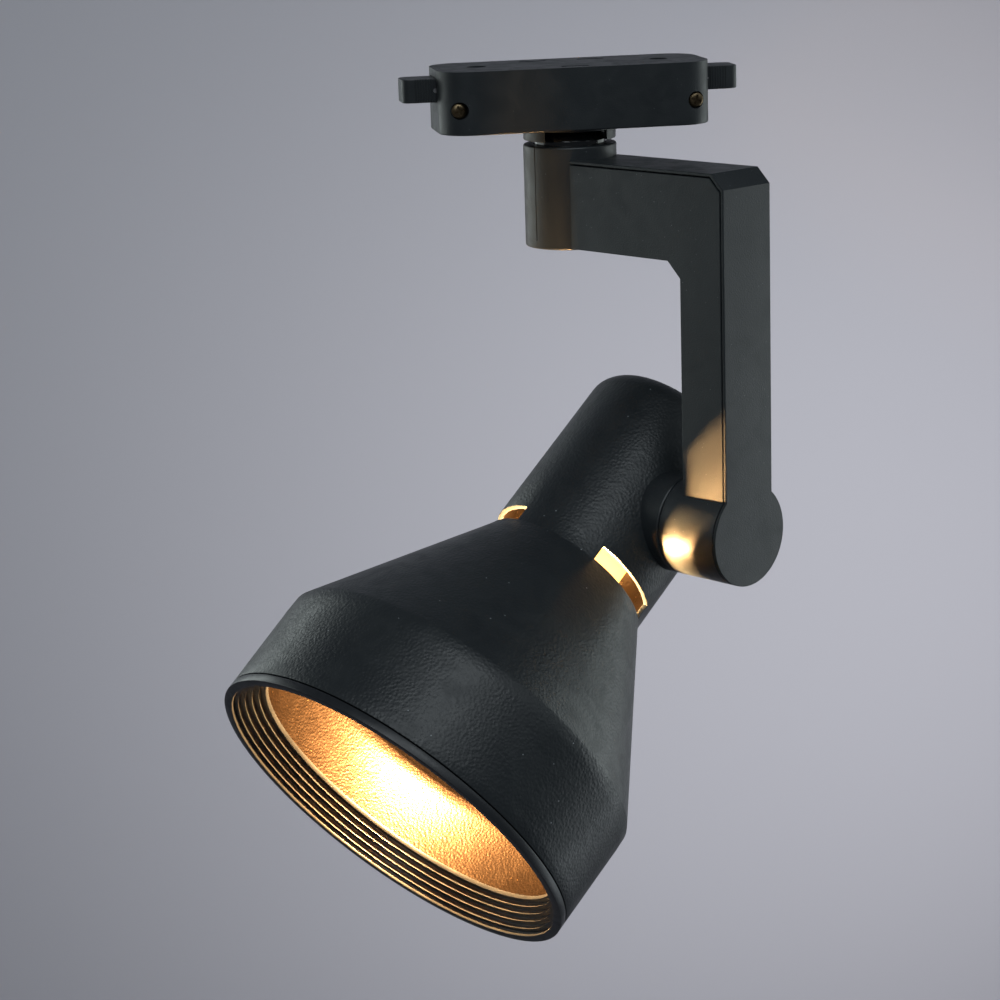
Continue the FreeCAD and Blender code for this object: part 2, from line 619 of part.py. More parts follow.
flare_shift = ("sizes.shell_wall * tan(atan((sizes.shoulder_radius - sizes.neck_radius)"
               " / (sizes.shoulder - sizes.flare_start)) / 2)")


bracket_top = "sizes.holder_top + sizes.bracket_thick"
holder_screw_places = ("-9", "9")


def make_shade():
    """Spun shell: closed neck, conical flare and band, with three vent slots and two inner pillars."""
    shell_end = "-sizes.rim + sizes.lip_height + 0.4"
    profile = [("0", "sizes.neck_end"), ("sizes.neck_radius", "sizes.neck_end"),
               ("sizes.neck_radius", "-sizes.flare_start"), ("sizes.shoulder_radius", "-sizes.shoulder"),
               ("sizes.rim_radius", shell_end), ("sizes.rim_radius - sizes.shell_wall", shell_end),
               ("sizes.shoulder_radius - sizes.shell_wall", "-sizes.shoulder - " + flare_shift),
               ("sizes.neck_radius - sizes.shell_wall", "-sizes.flare_start - " + flare_shift),
               ("sizes.neck_radius - sizes.shell_wall", "sizes.neck_end - sizes.shell_wall"),
               ("0", "sizes.neck_end - sizes.shell_wall")]
    shell = turned(profile)
    shell = rounded(shell, size("neck_round"), ring_edge(size("neck_radius"), size("neck_end")))
    inner_edge = ring_edge(size("neck_radius") - size("shell_wall"), size("neck_end") - size("shell_wall"))
    shell = rounded(shell, size("neck_round") - size("shell_wall"), inner_edge)
    slots = []
    for third in range(3):
        slot = document.addObject("Part::Cylinder", "slot")
        tie(slot, Radius="sizes.neck_radius + 8", Height="sizes.slot_height", Angle="sizes.slot_sweep")
        turn = -4 - size("slot_sweep") / 2 + 120 * third
        slots.append(at(slot, "0", "0", "-sizes.slot_start - sizes.slot_height", (0, 0, 1), turn))
    core = upright("sizes.neck_radius - 4", "-50", "0")
    vents = [cut(slot, core) for slot in slots]
    pillars = [upright("3", bracket_top, "sizes.neck_end - 0.5", "0", place) for place in holder_screw_places]
    pilot_holes = [upright("1.25", "20", "sizes.neck_end - 1.9", "0", place) for place in holder_screw_places]
    shell = cut(fuse(shell, *pillars), *vents, *pilot_holes)
    bolt_hole = crosswise("sizes.bolt_radius + sizes.shaft_clearance", "15", "40", "0")
    node(cut(shell, bolt_hole), "shade_shell", shade_place)


def make_baffle_ring():
    """Stepped ring that closes the mouth: a flat lip, five ribs and a spigot inside the shell."""
    spigot = "sizes.rim_radius - sizes.shell_wall - 0.1"
    profile = [("sizes.rim_radius", "-sizes.rim"), ("sizes.rim_radius", "-sizes.rim + sizes.lip_height"),
               (spigot, "-sizes.rim + sizes.lip_height"), (spigot, "-sizes.rim + 9"),
               ("sizes.rim_radius - sizes.lip_width - 5 * sizes.rib_step",
                "-sizes.rim + 5 * sizes.rib_pitch + 1.4")]
    for rib in range(5, 0, -1):
        radius = "sizes.rim_radius - sizes.lip_width - %d * sizes.rib_step" % rib
        foot = "-sizes.rim + %d * sizes.rib_pitch" % rib
        profile.append((radius, foot))
        profile.append((radius + " + 1.7", foot + " - 0.1"))
        profile.append((radius + " + 1.7", foot + " - sizes.rib_pitch + 0.8"))
    profile.append(("sizes.rim_radius - sizes.lip_width", "-sizes.rim + 0.8"))
    profile.append(("sizes.rim_radius - sizes.lip_width", "-sizes.rim"))
    node(turned(profile), "baffle_ring", shade_place)


# ---------------------------------------------------------------- lamp and its holder

def make_lampholder():
    """Bracket, ceramic body, threaded metal sleeve and centre contact."""
    plate = cut(upright("15.5", "sizes.holder_top", bracket_top), upright("3.4", "0", "40", "10"),
                *[upright("1.5", "0", "40", "0", place) for place in holder_screw_places])
    node(plate, "holder_bracket", shade_place)
    body = turned([("0", "sizes.holder_top"), ("sizes.holder_radius - 3", "sizes.holder_top"),
                   ("sizes.holder_radius", "sizes.holder_top - 3"), ("sizes.holder_radius", "4"),
                   ("sizes.holder_radius - 1.2", "1.5"), ("14.2", "1.5"), ("14.2", "24.5"), ("0", "24.5")])
    pockets = [upright("2.8", "sizes.holder_top - 1.6", "40", "0", place) for place in holder_screw_places]
    node(cut(body, *pockets), "lampholder_body", shade_place)
    sleeve = cut(upright("14.15", "2.5", "24.4"), upright("13.55", "0", "23.9"))
    node(cut(sleeve, upright("5", "20", "30")), "lampholder_sleeve", shade_place)
    contact = fuse(upright("2.5", "22.2", "24.45"), upright("4.2", "23.6", "24.45"))
    node(contact, "lampholder_contact", shade_place)
    screws = []
    for place in holder_screw_places:
        head = upright("2.6", "sizes.holder_top - 1.4", "sizes.holder_top", "0", place)
        shank = upright("1.2", "sizes.holder_top - 0.1", "sizes.neck_end - 2.1", "0", place)
        slot = box(("-0.35", "0.35"), (place + " - 3", place + " + 3"),
                   ("sizes.holder_top - 2", "sizes.holder_top - 0.8"))
        screws.append(cut(fuse(head, shank), slot))
    solids(screws, "holder_screws", shade_place)


def bulb_form(shrink, top):
    """The bulb's neck and globe, shrunk all round by the thickness of the glass."""
    neck_radius = "(sizes.bulb_neck_radius - %s)" % shrink
    join_radius = "(sizes.globe_radius - %s) * cos(sizes.globe_join)" % shrink
    join_height = "-sizes.globe_centre + (sizes.globe_radius - %s) * sin(sizes.globe_join)" % shrink
    cone_top = "%s + (%s - %s) / tan(sizes.globe_join)" % (join_height, join_radius, neck_radius)
    neck = turned([("0", top), (neck_radius + " - 0.4", top), (neck_radius, "-3"), (neck_radius, cone_top),
                   (join_radius, join_height), ("0", join_height)])
    globe = document.addObject("Part::Sphere", "globe")
    tie(globe, Radius="sizes.globe_radius - " + shrink)
    at(globe, "0", "0", "-sizes.globe_centre")
    return fuse(neck, globe)


def make_bulb():
    """Compact globe lamp: threaded metal cap, insulating tip and thin frosted glass."""
    thread = [("11.6", "sizes.cap_low - 1"), ("12.2", "sizes.cap_low - 1")]
    for turn in range(6):
        low = 1.2 + 3.2 * turn
        thread += [("sizes.cap_radius - 0.9", str(low)), ("sizes.cap_radius", str(low + 1.0)),
                   ("sizes.cap_radius", str(low + 1.6))]
    thread += [("sizes.cap_radius - 0.9", "19.8"), ("8", "20.4"), ("7.4", "20.4"), ("7.4", "19.8"),
               ("11.6", "19.2")]
    node(turned(thread), "bulb_cap", shade_place)
    tip = turned([("0", "19.9"), ("7.35", "19.9"), ("7.35", "20.4"), ("4.6", "21.6"), ("0", "22.1")])
    node(tip, "bulb_tip", shade_place)
    glass = cut(bulb_form("0", "-0.5"), bulb_form("0.9", "0"))
    node(glass, "bulb_glass", shade_place)


make_shade()
make_baffle_ring()
make_lampholder()
make_bulb()

document.recompute()
for item in document.Objects:
    if "Invalid" in item.State or "Error" in item.State:
        raise RuntimeError("failed feature: %s (%s)" % (item.Name, item.Label))
for item in parts:
    if item.Shape.isNull() or not item.Shape.isValid() or not item.Shape.Solids:
        raise RuntimeError("bad sub-part: " + item.Label)

os.makedirs("parts", exist_ok=True)
for item in parts:
    item.Shape.exportStep(os.path.join("parts", item.Label + ".step"))
    print("%-24s %2d solid(s) %9.1f mm3" % (item.Label, len(item.Shape.Solids), item.Shape.Volume))
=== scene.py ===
import json
import math

import bpy
from mathutils import Matrix, Vector


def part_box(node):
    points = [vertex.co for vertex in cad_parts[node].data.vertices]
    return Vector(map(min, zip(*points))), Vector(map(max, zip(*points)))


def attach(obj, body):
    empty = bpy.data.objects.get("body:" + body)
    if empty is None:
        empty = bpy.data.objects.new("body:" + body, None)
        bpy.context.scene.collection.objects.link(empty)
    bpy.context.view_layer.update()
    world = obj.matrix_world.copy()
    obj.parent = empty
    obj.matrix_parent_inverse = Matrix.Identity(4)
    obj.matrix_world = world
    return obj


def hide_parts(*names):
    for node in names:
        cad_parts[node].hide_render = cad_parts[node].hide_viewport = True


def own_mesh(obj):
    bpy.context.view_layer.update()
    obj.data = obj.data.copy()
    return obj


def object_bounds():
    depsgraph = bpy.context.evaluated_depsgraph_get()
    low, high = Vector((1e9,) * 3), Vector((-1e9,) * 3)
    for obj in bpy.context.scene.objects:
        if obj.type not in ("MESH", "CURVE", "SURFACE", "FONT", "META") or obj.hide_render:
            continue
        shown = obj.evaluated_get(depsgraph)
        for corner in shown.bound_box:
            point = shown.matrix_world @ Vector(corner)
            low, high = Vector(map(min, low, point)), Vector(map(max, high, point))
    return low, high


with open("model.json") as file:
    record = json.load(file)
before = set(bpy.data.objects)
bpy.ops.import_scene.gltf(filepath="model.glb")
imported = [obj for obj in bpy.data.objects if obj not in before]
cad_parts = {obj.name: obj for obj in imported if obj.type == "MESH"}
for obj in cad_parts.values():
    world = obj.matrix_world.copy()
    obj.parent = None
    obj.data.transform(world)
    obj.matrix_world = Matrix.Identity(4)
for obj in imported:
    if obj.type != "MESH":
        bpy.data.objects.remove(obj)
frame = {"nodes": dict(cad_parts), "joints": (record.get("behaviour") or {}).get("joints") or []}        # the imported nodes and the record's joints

cad_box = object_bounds()


# ---------------------------------------------------------------- studio
# A pale sweep of paper stands behind and under the fixture, with a soft pool of light on it.
# Soft boxes behind the fixture draw its edges, and weaker ones fill its front and top.

camera_azimuth = math.radians(-9.08)
camera_elevation = math.radians(14.10)
camera_roll = math.radians(-1.84)
camera_place = Vector((-0.1535, -0.8037, 0.0696))
camera_lens = 96.3
camera_sensor = 36

back = Vector((math.sin(camera_azimuth) * math.cos(camera_elevation),
               -math.cos(camera_azimuth) * math.cos(camera_elevation),
               math.sin(camera_elevation)))
right = Vector((math.cos(camera_azimuth), math.sin(camera_azimuth), 0))
camera_turn = Matrix((right, back.cross(right), back)).transposed().to_4x4()
camera_data = bpy.data.cameras.new("camera")
camera_data.lens = camera_lens
camera_data.sensor_width = camera_sensor
camera_data.clip_start = 0.01
camera = bpy.data.objects.new("camera", camera_data)
bpy.context.scene.collection.objects.link(camera)
camera.matrix_world = (Matrix.Translation(camera_place) @ camera_turn
                       @ Matrix.Rotation(camera_roll, 4, "Z"))
bpy.context.scene.camera = camera

floor_height = -1.35
floor_depth = 3.0
wall_distance = 1.7
wall_height = 3.6
sweep_half_width = 3.5
cove_radius = 0.4
cove_steps = 16
bpy.ops.object.select_all(action="DESELECT")
bpy.ops.mesh.primitive_plane_add(size=1, location=(0, wall_distance - cove_radius - floor_depth / 2,
                                                   floor_height))
sweep = bpy.context.object
sweep.name = "paper_sweep"
sweep.scale = (2 * sweep_half_width, floor_depth, 1)
bpy.ops.object.transform_apply(location=True, rotation=True, scale=True)
bpy.ops.object.mode_set(mode="EDIT")
bpy.ops.mesh.select_all(action="DESELECT")
bpy.ops.mesh.select_mode(type="EDGE")
bpy.ops.object.mode_set(mode="OBJECT")
for edge in sweep.data.edges:
    ends = [sweep.data.vertices[i].co for i in edge.vertices]
    edge.select = all(end.y > wall_distance - cove_radius - 0.01 for end in ends)
bpy.ops.object.mode_set(mode="EDIT")
bpy.ops.mesh.spin(steps=cove_steps, angle=math.pi / 2, axis=(1, 0, 0),
                  center=(0, wall_distance - cove_radius, floor_height + cove_radius))
bpy.ops.mesh.extrude_edges_move(TRANSFORM_OT_translate={"value": (0, 0, wall_height)})
bpy.ops.object.mode_set(mode="OBJECT")
bpy.ops.object.shade_smooth()

paper = bpy.data.materials.new("pale_paper")
paper.use_nodes = True
paper_shader = paper.node_tree.nodes["Principled BSDF"]
paper_shader.inputs["Base Color"].default_value = (0.55, 0.54, 0.595, 1)
paper_shader.inputs["Roughness"].default_value = 0.9
sweep.data.materials.append(paper)

world = bpy.data.worlds.new("studio_air")
world.use_nodes = True
world.node_tree.nodes["Background"].inputs["Color"].default_value = (0.80, 0.84, 0.92, 1)
world.node_tree.nodes["Background"].inputs["Strength"].default_value = 0.09
bpy.context.scene.world = world
bpy.context.scene.view_settings.view_transform = "Standard"


def aimed(place, target):
    """The matrix of a lamp at a place, turned to face a point."""
    return (Matrix.Translation(place)
            @ (Vector(place) - Vector(target)).to_track_quat("Z", "Y").to_matrix().to_4x4())


def soft_box(name, place, target, width, height, power, colour):
    """A rectangular studio light at a place, turned to face a point."""
    data = bpy.data.lights.new(name, "AREA")
    data.shape = "RECTANGLE"
    data.size = width
    data.size_y = height
    data.energy = power
    data.color = colour
    lamp = bpy.data.objects.new(name, data)
    lamp.matrix_world = aimed(place, target)
    bpy.context.scene.collection.objects.link(lamp)


middle = (cad_box[0] + cad_box[1]) / 2
green_white = (0.90, 1.0, 0.97)
cool_white = (0.88, 0.96, 1.0)
soft_box("left_rim_box", (-0.75, 0.35, -0.05), middle, 0.5, 0.7, 1.3, green_white)
soft_box("left_back_box", (-0.55, 0.90, 0.00), middle, 0.45, 0.7, 3.2, green_white)
soft_box("right_rim_box", (0.75, 0.20, -0.10), middle, 0.5, 0.7, 1.4, green_white)
soft_box("right_low_box", (0.85, 0.10, -0.50), middle, 0.5, 0.7, 1.4, cool_white)
soft_box("front_box", (-0.5, -1.2, 0.9), middle, 0.5, 0.7, 5.0, cool_white)
soft_box("top_box", (0.2, -0.9, 0.9), middle, 0.5, 0.7, 3.4, cool_white)
soft_box("high_right_box", (0.9, -0.6, 0.6), middle, 0.5, 0.7, 0.9, cool_white)

pool = bpy.data.lights.new("wall_pool", "SPOT")
pool.energy = 130
pool.spot_size = math.radians(32)
pool.spot_blend = 1.0
pool.shadow_soft_size = 0.3
pool_lamp = bpy.data.objects.new("wall_pool", pool)
pool_lamp.matrix_world = aimed((1.2, -1.2, -0.4), (0.06, wall_distance, -0.48))
bpy.context.scene.collection.objects.link(pool_lamp)


# ---------------------------------------------------------------- track adapter housing
# The housing is an oblong moulded box with round ends, open at the top, with a slot for a thumb
# tab in each end and two recessed screw holes in its near side. It is black glass-filled nylon.


def active(part):
    """Makes a part the only selected object, in object mode."""
    bpy.ops.object.select_all(action="DESELECT")
    part.select_set(True)
    bpy.context.view_layer.objects.active = part


def named(name):
    """Names the primitive just added."""
    part = bpy.context.object
    part.name = name
    part.data.name = name
    bpy.ops.object.transform_apply(location=True, rotation=True, scale=True)
    return part


def block(name, low, high):
    """A rectangular block between two corners."""
    low, high = Vector(low), Vector(high)
    bpy.ops.object.select_all(action="DESELECT")
    bpy.ops.mesh.primitive_cube_add(size=1, location=(low + high) / 2)
    bpy.context.object.scale = high - low
    return named(name)


def rod(name, radius, foot, tip, sides=64):
    """A round bar from one point to another."""
    foot, tip = Vector(foot), Vector(tip)
    bpy.ops.object.select_all(action="DESELECT")
    bpy.ops.mesh.primitive_cylinder_add(vertices=sides, radius=radius, depth=(tip - foot).length,
                                        location=(foot + tip) / 2,
                                        rotation=(tip - foot).to_track_quat("Z", "Y").to_euler())
    return named(name)


def pick(part, kind, test):
    """Enters edit mode with the faces or edges that pass a test of their middle and direction."""
    active(part)
    bpy.ops.object.mode_set(mode="EDIT")
    bpy.ops.mesh.select_mode(type=kind)
    bpy.ops.mesh.select_all(action="DESELECT")
    bpy.ops.object.mode_set(mode="OBJECT")
    if kind == "FACE":
        for face in part.data.polygons:
            face.select = test(face.center, face.normal)
    else:
        for edge in part.data.edges:
            first, second = (part.data.vertices[i].co for i in edge.vertices)
            edge.select = test((first + second) / 2, (second - first).normalized())
    bpy.ops.object.mode_set(mode="EDIT")


def round_picked(width, segments):
    """Bevels the picked edges and leaves edit mode."""
    bpy.ops.mesh.bevel(offset=width, segments=segments, affect="EDGES")
    bpy.ops.object.mode_set(mode="OBJECT")


def carve(part, *tools, operation="DIFFERENCE"):
    """Cuts tools out of a part, or joins them to it, and throws the tools away."""
    for tool in tools:
        active(part)
        cut = part.modifiers.new("cut", "BOOLEAN")
        cut.operation = operation
        cut.object = tool
        bpy.ops.object.modifier_apply(modifier="cut")
        bpy.data.objects.remove(tool)


def finish_form(part, name, angle=35):
    """Merges stray points, smooths the rounded faces and keeps the flat ones flat."""
    active(part)
    part.name = name
    part.data.name = name
    bpy.ops.object.mode_set(mode="EDIT")
    bpy.ops.mesh.select_mode(type="VERT")
    bpy.ops.mesh.select_all(action="SELECT")
    bpy.ops.mesh.remove_doubles(threshold=1e-6)
    bpy.ops.object.mode_set(mode="OBJECT")
    bpy.ops.object.shade_smooth_by_angle(angle=math.radians(angle))
    flats = part.modifiers.new("flats", "WEIGHTED_NORMAL")
    flats.keep_sharp = True
    bpy.ops.object.modifier_apply(modifier="flats")


def settle(part, place, body, slot, nodes, *materials):
    """Writes a part's place into its mesh, dresses it and lets it ride on its body."""
    active(part)
    part.matrix_world = place
    bpy.ops.object.transform_apply(location=True, rotation=True, scale=True)
    part.data.materials.clear()
    for material in materials:
        part.data.materials.append(material)
    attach(part, body)
    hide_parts(*nodes)


def effect_group(name, numbers, outputs):
    """An empty shader group with a Vector input, number inputs and the named number outputs."""
    group = bpy.data.node_groups.new(name, "ShaderNodeTree")
    group.interface.new_socket("Vector", in_out="INPUT", socket_type="NodeSocketVector")
    for label, value in numbers.items():
        socket = group.interface.new_socket(label, in_out="INPUT", socket_type="NodeSocketFloat")
        socket.default_value = value
    for label in outputs:
        group.interface.new_socket(label, in_out="OUTPUT", socket_type="NodeSocketFloat")
    return group, group.nodes.new("NodeGroupInput"), group.nodes.new("NodeGroupOutput")


def spread(tree, value, from_low, from_high, to_low, to_high):
    """A Map Range node's clamped result."""
    node = tree.nodes.new("ShaderNodeMapRange")
    for socket, number in zip(("From Min", "From Max", "To Min", "To Max"),
                              (from_low, from_high, to_low, to_high)):
        node.inputs[socket].default_value = number
    tree.links.new(value, node.inputs["Value"])
    return node.outputs["Result"]


# Grain: the pebbled skin of a moulded or sprayed surface, and its few specks of painted glint.
grain_group, grain_in, grain_out = effect_group(
    "surface_grain", {"Cells per metre": 1500.0, "Roundness": 0.5, "Glint speck share": 0.02},
    ("Height", "Glint specks"))
pebbles = grain_group.nodes.new("ShaderNodeTexVoronoi")
pebbles.feature = "SMOOTH_F1"
pebbles.inputs["Smoothness"].default_value = 0.6
ripple = grain_group.nodes.new("ShaderNodeTexNoise")
ripple.inputs["Detail"].default_value = 3
pebble_mix = grain_group.nodes.new("ShaderNodeMix")
# The specks are painted glints: pale spots in the base colour that stand in for light sparkling on the
# grain.
glint_cells = grain_group.nodes.new("ShaderNodeTexVoronoi")
glint_choice = grain_group.nodes.new("ShaderNodeSeparateColor")
glint_pick = grain_group.nodes.new("ShaderNodeMath")
glint_pick.operation = "LESS_THAN"
glint_dot = spread(grain_group, glint_cells.outputs["Distance"], 0.10, 0.30, 1, 0)
glint_mask = grain_group.nodes.new("ShaderNodeMath")
glint_mask.operation = "MULTIPLY"
for texture in (pebbles, ripple, glint_cells):
    grain_group.links.new(grain_in.outputs["Vector"], texture.inputs["Vector"])
    grain_group.links.new(grain_in.outputs["Cells per metre"], texture.inputs["Scale"])
for start, end in ((grain_in.outputs["Roundness"], pebble_mix.inputs["Factor"]),
                   (ripple.outputs["Fac"], pebble_mix.inputs["A"]),
                   (pebbles.outputs["Distance"], pebble_mix.inputs["B"]),
                   (pebble_mix.outputs["Result"], grain_out.inputs["Height"]),
                   (glint_cells.outputs["Color"], glint_choice.inputs["Color"]),
                   (glint_choice.outputs["Red"], glint_pick.inputs[0]),
                   (grain_in.outputs["Glint speck share"], glint_pick.inputs[1]),
                   (glint_pick.outputs["Value"], glint_mask.inputs[0]),
                   (glint_dot, glint_mask.inputs[1]),
                   (glint_mask.outputs["Value"], grain_out.inputs["Glint specks"])):
    grain_group.links.new(start, end)

# Handling: broad soft patches where the finish is a little rubbed or paler.
handling_group, handling_in, handling_out = effect_group(
    "handling_marks", {"Patches per metre": 30.0}, ("Patches", "Smears"))
patches = handling_group.nodes.new("ShaderNodeTexNoise")
patches.inputs["Detail"].default_value = 4
smears = handling_group.nodes.new("ShaderNodeTexNoise")
smears.inputs["Detail"].default_value = 2
smears.inputs["Distortion"].default_value = 1.2
smear_rate = handling_group.nodes.new("ShaderNodeMath")
smear_rate.operation = "MULTIPLY"
smear_rate.inputs[1].default_value = 4
for start, end in ((handling_in.outputs["Vector"], patches.inputs["Vector"]),
                   (handling_in.outputs["Vector"], smears.inputs["Vector"]),
                   (handling_in.outputs["Patches per metre"], patches.inputs["Scale"]),
                   (handling_in.outputs["Patches per metre"], smear_rate.inputs[0]),
                   (smear_rate.outputs["Value"], smears.inputs["Scale"]),
                   (spread(handling_group, patches.outputs["Fac"], 0.35, 0.65, 0, 1),
                    handling_out.inputs["Patches"]),
                   (spread(handling_group, smears.outputs["Fac"], 0.4, 0.7, 0, 1),
                    handling_out.inputs["Smears"])):
    handling_group.links.new(start, end)


def finish(name, dark, pale, rough_low, rough_high, cells, bump, roundness=0.5, glint_share=0.0,
           glint_colour=(0.5, 0.5, 0.5), patches=30.0, metal=0.0, coat=0.0):
    """A material with grain in its normal, patches and painted glint specks in its colour and smears in
    its roughness.
    """
    material = bpy.data.materials.new(name)
    material.use_nodes = True
    tree = material.node_tree
    shader = tree.nodes["Principled BSDF"]
    shader.inputs["Metallic"].default_value = metal
    shader.inputs["Coat Weight"].default_value = coat
    place = tree.nodes.new("ShaderNodeTexCoord")
    grain = tree.nodes.new("ShaderNodeGroup")
    grain.node_tree = grain_group
    grain.inputs["Cells per metre"].default_value = cells
    grain.inputs["Roundness"].default_value = roundness
    grain.inputs["Glint speck share"].default_value = glint_share
    handling = tree.nodes.new("ShaderNodeGroup")
    handling.node_tree = handling_group
    handling.inputs["Patches per metre"].default_value = patches
    colour = tree.nodes.new("ShaderNodeMix")
    colour.data_type = "RGBA"
    colour.inputs["A"].default_value = (*dark, 1)
    colour.inputs["B"].default_value = (*pale, 1)
    # Pale specks of painted glint are mixed into the base colour here.
    glinted = tree.nodes.new("ShaderNodeMix")
    glinted.data_type = "RGBA"
    glinted.inputs["B"].default_value = (*glint_colour, 1)
    relief = tree.nodes.new("ShaderNodeBump")
    relief.inputs["Distance"].default_value = bump
    for start, end in ((place.outputs["Object"], grain.inputs["Vector"]),
                       (place.outputs["Object"], handling.inputs["Vector"]),
                       (handling.outputs["Patches"], colour.inputs["Factor"]),
                       (colour.outputs["Result"], glinted.inputs["A"]),
                       (grain.outputs["Glint specks"], glinted.inputs["Factor"]),
                       (glinted.outputs["Result"], shader.inputs["Base Color"]),
                       (spread(tree, handling.outputs["Smears"], 0, 1, rough_low, rough_high),
                        shader.inputs["Roughness"]),
                       (grain.outputs["Height"], relief.inputs["Height"]),
                       (relief.outputs["Normal"], shader.inputs["Normal"])):
        tree.links.new(start, end)
    return material


def dress_nodes(material, *nodes):
    """Gives carried-over CAD parts their material."""
    for node in nodes:
        frame["nodes"][node].data.materials.clear()
        frame["nodes"][node].data.materials.append(material)


adapter_corner = 0.0094
adapter_wall = 0.0020
adapter_floor = 0.0022
side_screw_reach = 0.0359
side_screw_height = -0.0114
side_screw_hole = 0.0026
fit_gap = 0.0002
stem_bore = 0.00505
shank_hole = 0.0016
slot_half = 0.0062
pillar_half = 0.0036
pillar_reach = 0.03755
pillar_back = -0.0104
pillar_face = -0.0153
recess_floor = -0.0142
housing_low, housing_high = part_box("adapter_housing")
tab_low, tab_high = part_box("latch_tab_left")

housing = block("adapter_shell", housing_low, housing_high)
pick(housing, "EDGE", lambda middle, along: abs(along.z) > 0.9)
round_picked(adapter_corner, 16)
pick(housing, "EDGE", lambda middle, along: middle.z < housing_low.z + 1e-5)
round_picked(0.0005, 3)
pick(housing, "FACE", lambda middle, normal: normal.z > 0.9)
bpy.ops.mesh.inset(thickness=adapter_wall)
bpy.ops.mesh.extrude_region_move(
    TRANSFORM_OT_translate={"value": (0, 0, housing_low.z + adapter_floor - housing_high.z)})
bpy.ops.object.mode_set(mode="OBJECT")
for side in (-1, 1):
    screw_x = side * side_screw_reach
    near_x, far_x = sorted((screw_x - side * pillar_half, side * pillar_reach))
    carve(housing, block("pillar", (near_x, pillar_face, side_screw_height - pillar_half),
                         (far_x, pillar_back, side_screw_height + pillar_half)), operation="UNION")
    carve(housing, rod("screw_recess", side_screw_hole, (screw_x, -0.020, side_screw_height),
                       (screw_x, recess_floor, side_screw_height), 40),
          rod("shank_hole", shank_hole, (screw_x, -0.015, side_screw_height),
              (screw_x, -0.010, side_screw_height), 40))
carve(housing, block("tab_slot", (-0.06, -slot_half, tab_low.z - fit_gap),
                     (0.06, slot_half, tab_high.z + fit_gap)),
      rod("stem_hole", stem_bore, (0, 0, -0.03), (0, 0, -0.0155)))
finish_form(housing, "adapter_shell")
# Its rare pale specks are painted glints.
moulding = finish("black_moulding", (0.014, 0.018, 0.021), (0.020, 0.025, 0.028), 0.40, 0.52,
                  2600.0, 0.00004, 0.4, 0.004, (0.16, 0.18, 0.19))
settle(housing, Matrix(), "adapter", "black_moulding", ["adapter_housing"], moulding)


# ---------------------------------------------------------------- adapter lid and contacts
# A flush moulded lid closes the adapter under the track. Inside, a carrier block of pale nylon
# holds three sprung brass clips that grip the track's blades.

dress_nodes(moulding, "adapter_lid")
nylon = finish("pale_nylon", (0.30, 0.29, 0.26), (0.36, 0.35, 0.31), 0.45, 0.60, 1800.0, 0.00004)
dress_nodes(nylon, "contact_carrier")
clip_brass = finish("clip_brass", (0.55, 0.38, 0.15), (0.66, 0.48, 0.20), 0.22, 0.38, 900.0, 0.00002,
                    patches=120.0, metal=1.0)
dress_nodes(clip_brass, "live_contact", "neutral_contact", "earth_contact", "lampholder_contact")


# ---------------------------------------------------------------- thumb tabs
# A ribbed tab slides in each end of the adapter. Squeezing both tabs frees the adapter from the
# studs in the track. A bright pin crosses each tab at its root.


tab_half = 0.006
tab_corner = 0.0026
plate_start = 0.024
plate_half = 0.0058
plate_thick = 0.003
keyhole_wide_end = 0.032
keyhole_radius = 0.0027
keyhole_half = 0.0016
pin_radius = 0.0007
pin_height = -0.006
rib_count = 7
rib_spacing = 0.0008
groove_width = 0.0004
groove_depth = 0.0003


def thumb_tab(side, label):
    """One tab: a nose with fine ribs, a shoulder behind the wall and a keyhole plate."""
    wall_inside = housing_high.x - adapter_wall
    nose_end = max(abs(tab_low.x), abs(tab_high.x))
    tab = block("tab", (wall_inside - 0.0025, -tab_half, tab_low.z),
                (nose_end, tab_half, tab_high.z))
    pick(tab, "EDGE", lambda middle, along: abs(along.z) > 0.9 and middle.x > nose_end - 1e-5)
    round_picked(tab_corner, 8)
    pick(tab, "EDGE", lambda middle, along: middle.x > wall_inside + 0.002
         and min(abs(middle.z - tab_low.z), abs(middle.z - tab_high.z)) < 1e-5)
    round_picked(0.0003, 2)
    carve(tab, block("shoulder", (wall_inside - 0.0027, -0.0075, tab_low.z),
                     (wall_inside - 0.0001, 0.0075, tab_high.z)),
          block("plate", (plate_start, -plate_half, tab_high.z - plate_thick),
                (wall_inside - 0.001, plate_half, tab_high.z)),
          operation="UNION")
    rib_start = housing_high.x + 0.0012
    for rib in range(rib_count):
        groove = rib_start + rib * rib_spacing
        for edge_side in (-1, 1):
            near_y, far_y = sorted((edge_side * (tab_half - groove_depth), edge_side * 0.007))
            carve(tab, block("groove", (groove, near_y, -0.010),
                             (groove + groove_width, far_y, -0.001)))
    carve(tab, block("keyhole", (plate_start + 0.001, -keyhole_half, -0.008),
                     (keyhole_wide_end, keyhole_half, 0)),
          rod("keyhole_end", keyhole_radius, (keyhole_wide_end, 0, -0.008), (keyhole_wide_end, 0, 0), 40),
          rod("pin_hole", pin_radius, (housing_high.x + fit_gap, -0.008, pin_height),
              (housing_high.x + fit_gap, 0.008, pin_height), 24))
    finish_form(tab, label + "_thumb_tab")
    settle(tab, Matrix.Rotation(0 if side > 0 else math.pi, 4, "Z"), label + "_tab", "black_moulding",
           ["latch_tab_" + label], moulding)


thumb_tab(-1, "left")
thumb_tab(1, "right")
bright_steel = finish("bright_steel", (0.55, 0.56, 0.57), (0.66, 0.67, 0.68), 0.20, 0.34,
                      1400.0, 0.00001, patches=150.0, metal=1.0)
dress_nodes(bright_steel, "latch_pin_left", "latch_pin_right")


# ---------------------------------------------------------------- return springs
# A small coiled spring of hard steel wire stands behind each thumb tab and pushes it out.
# Squeezing the tab shortens the spring against the carrier.

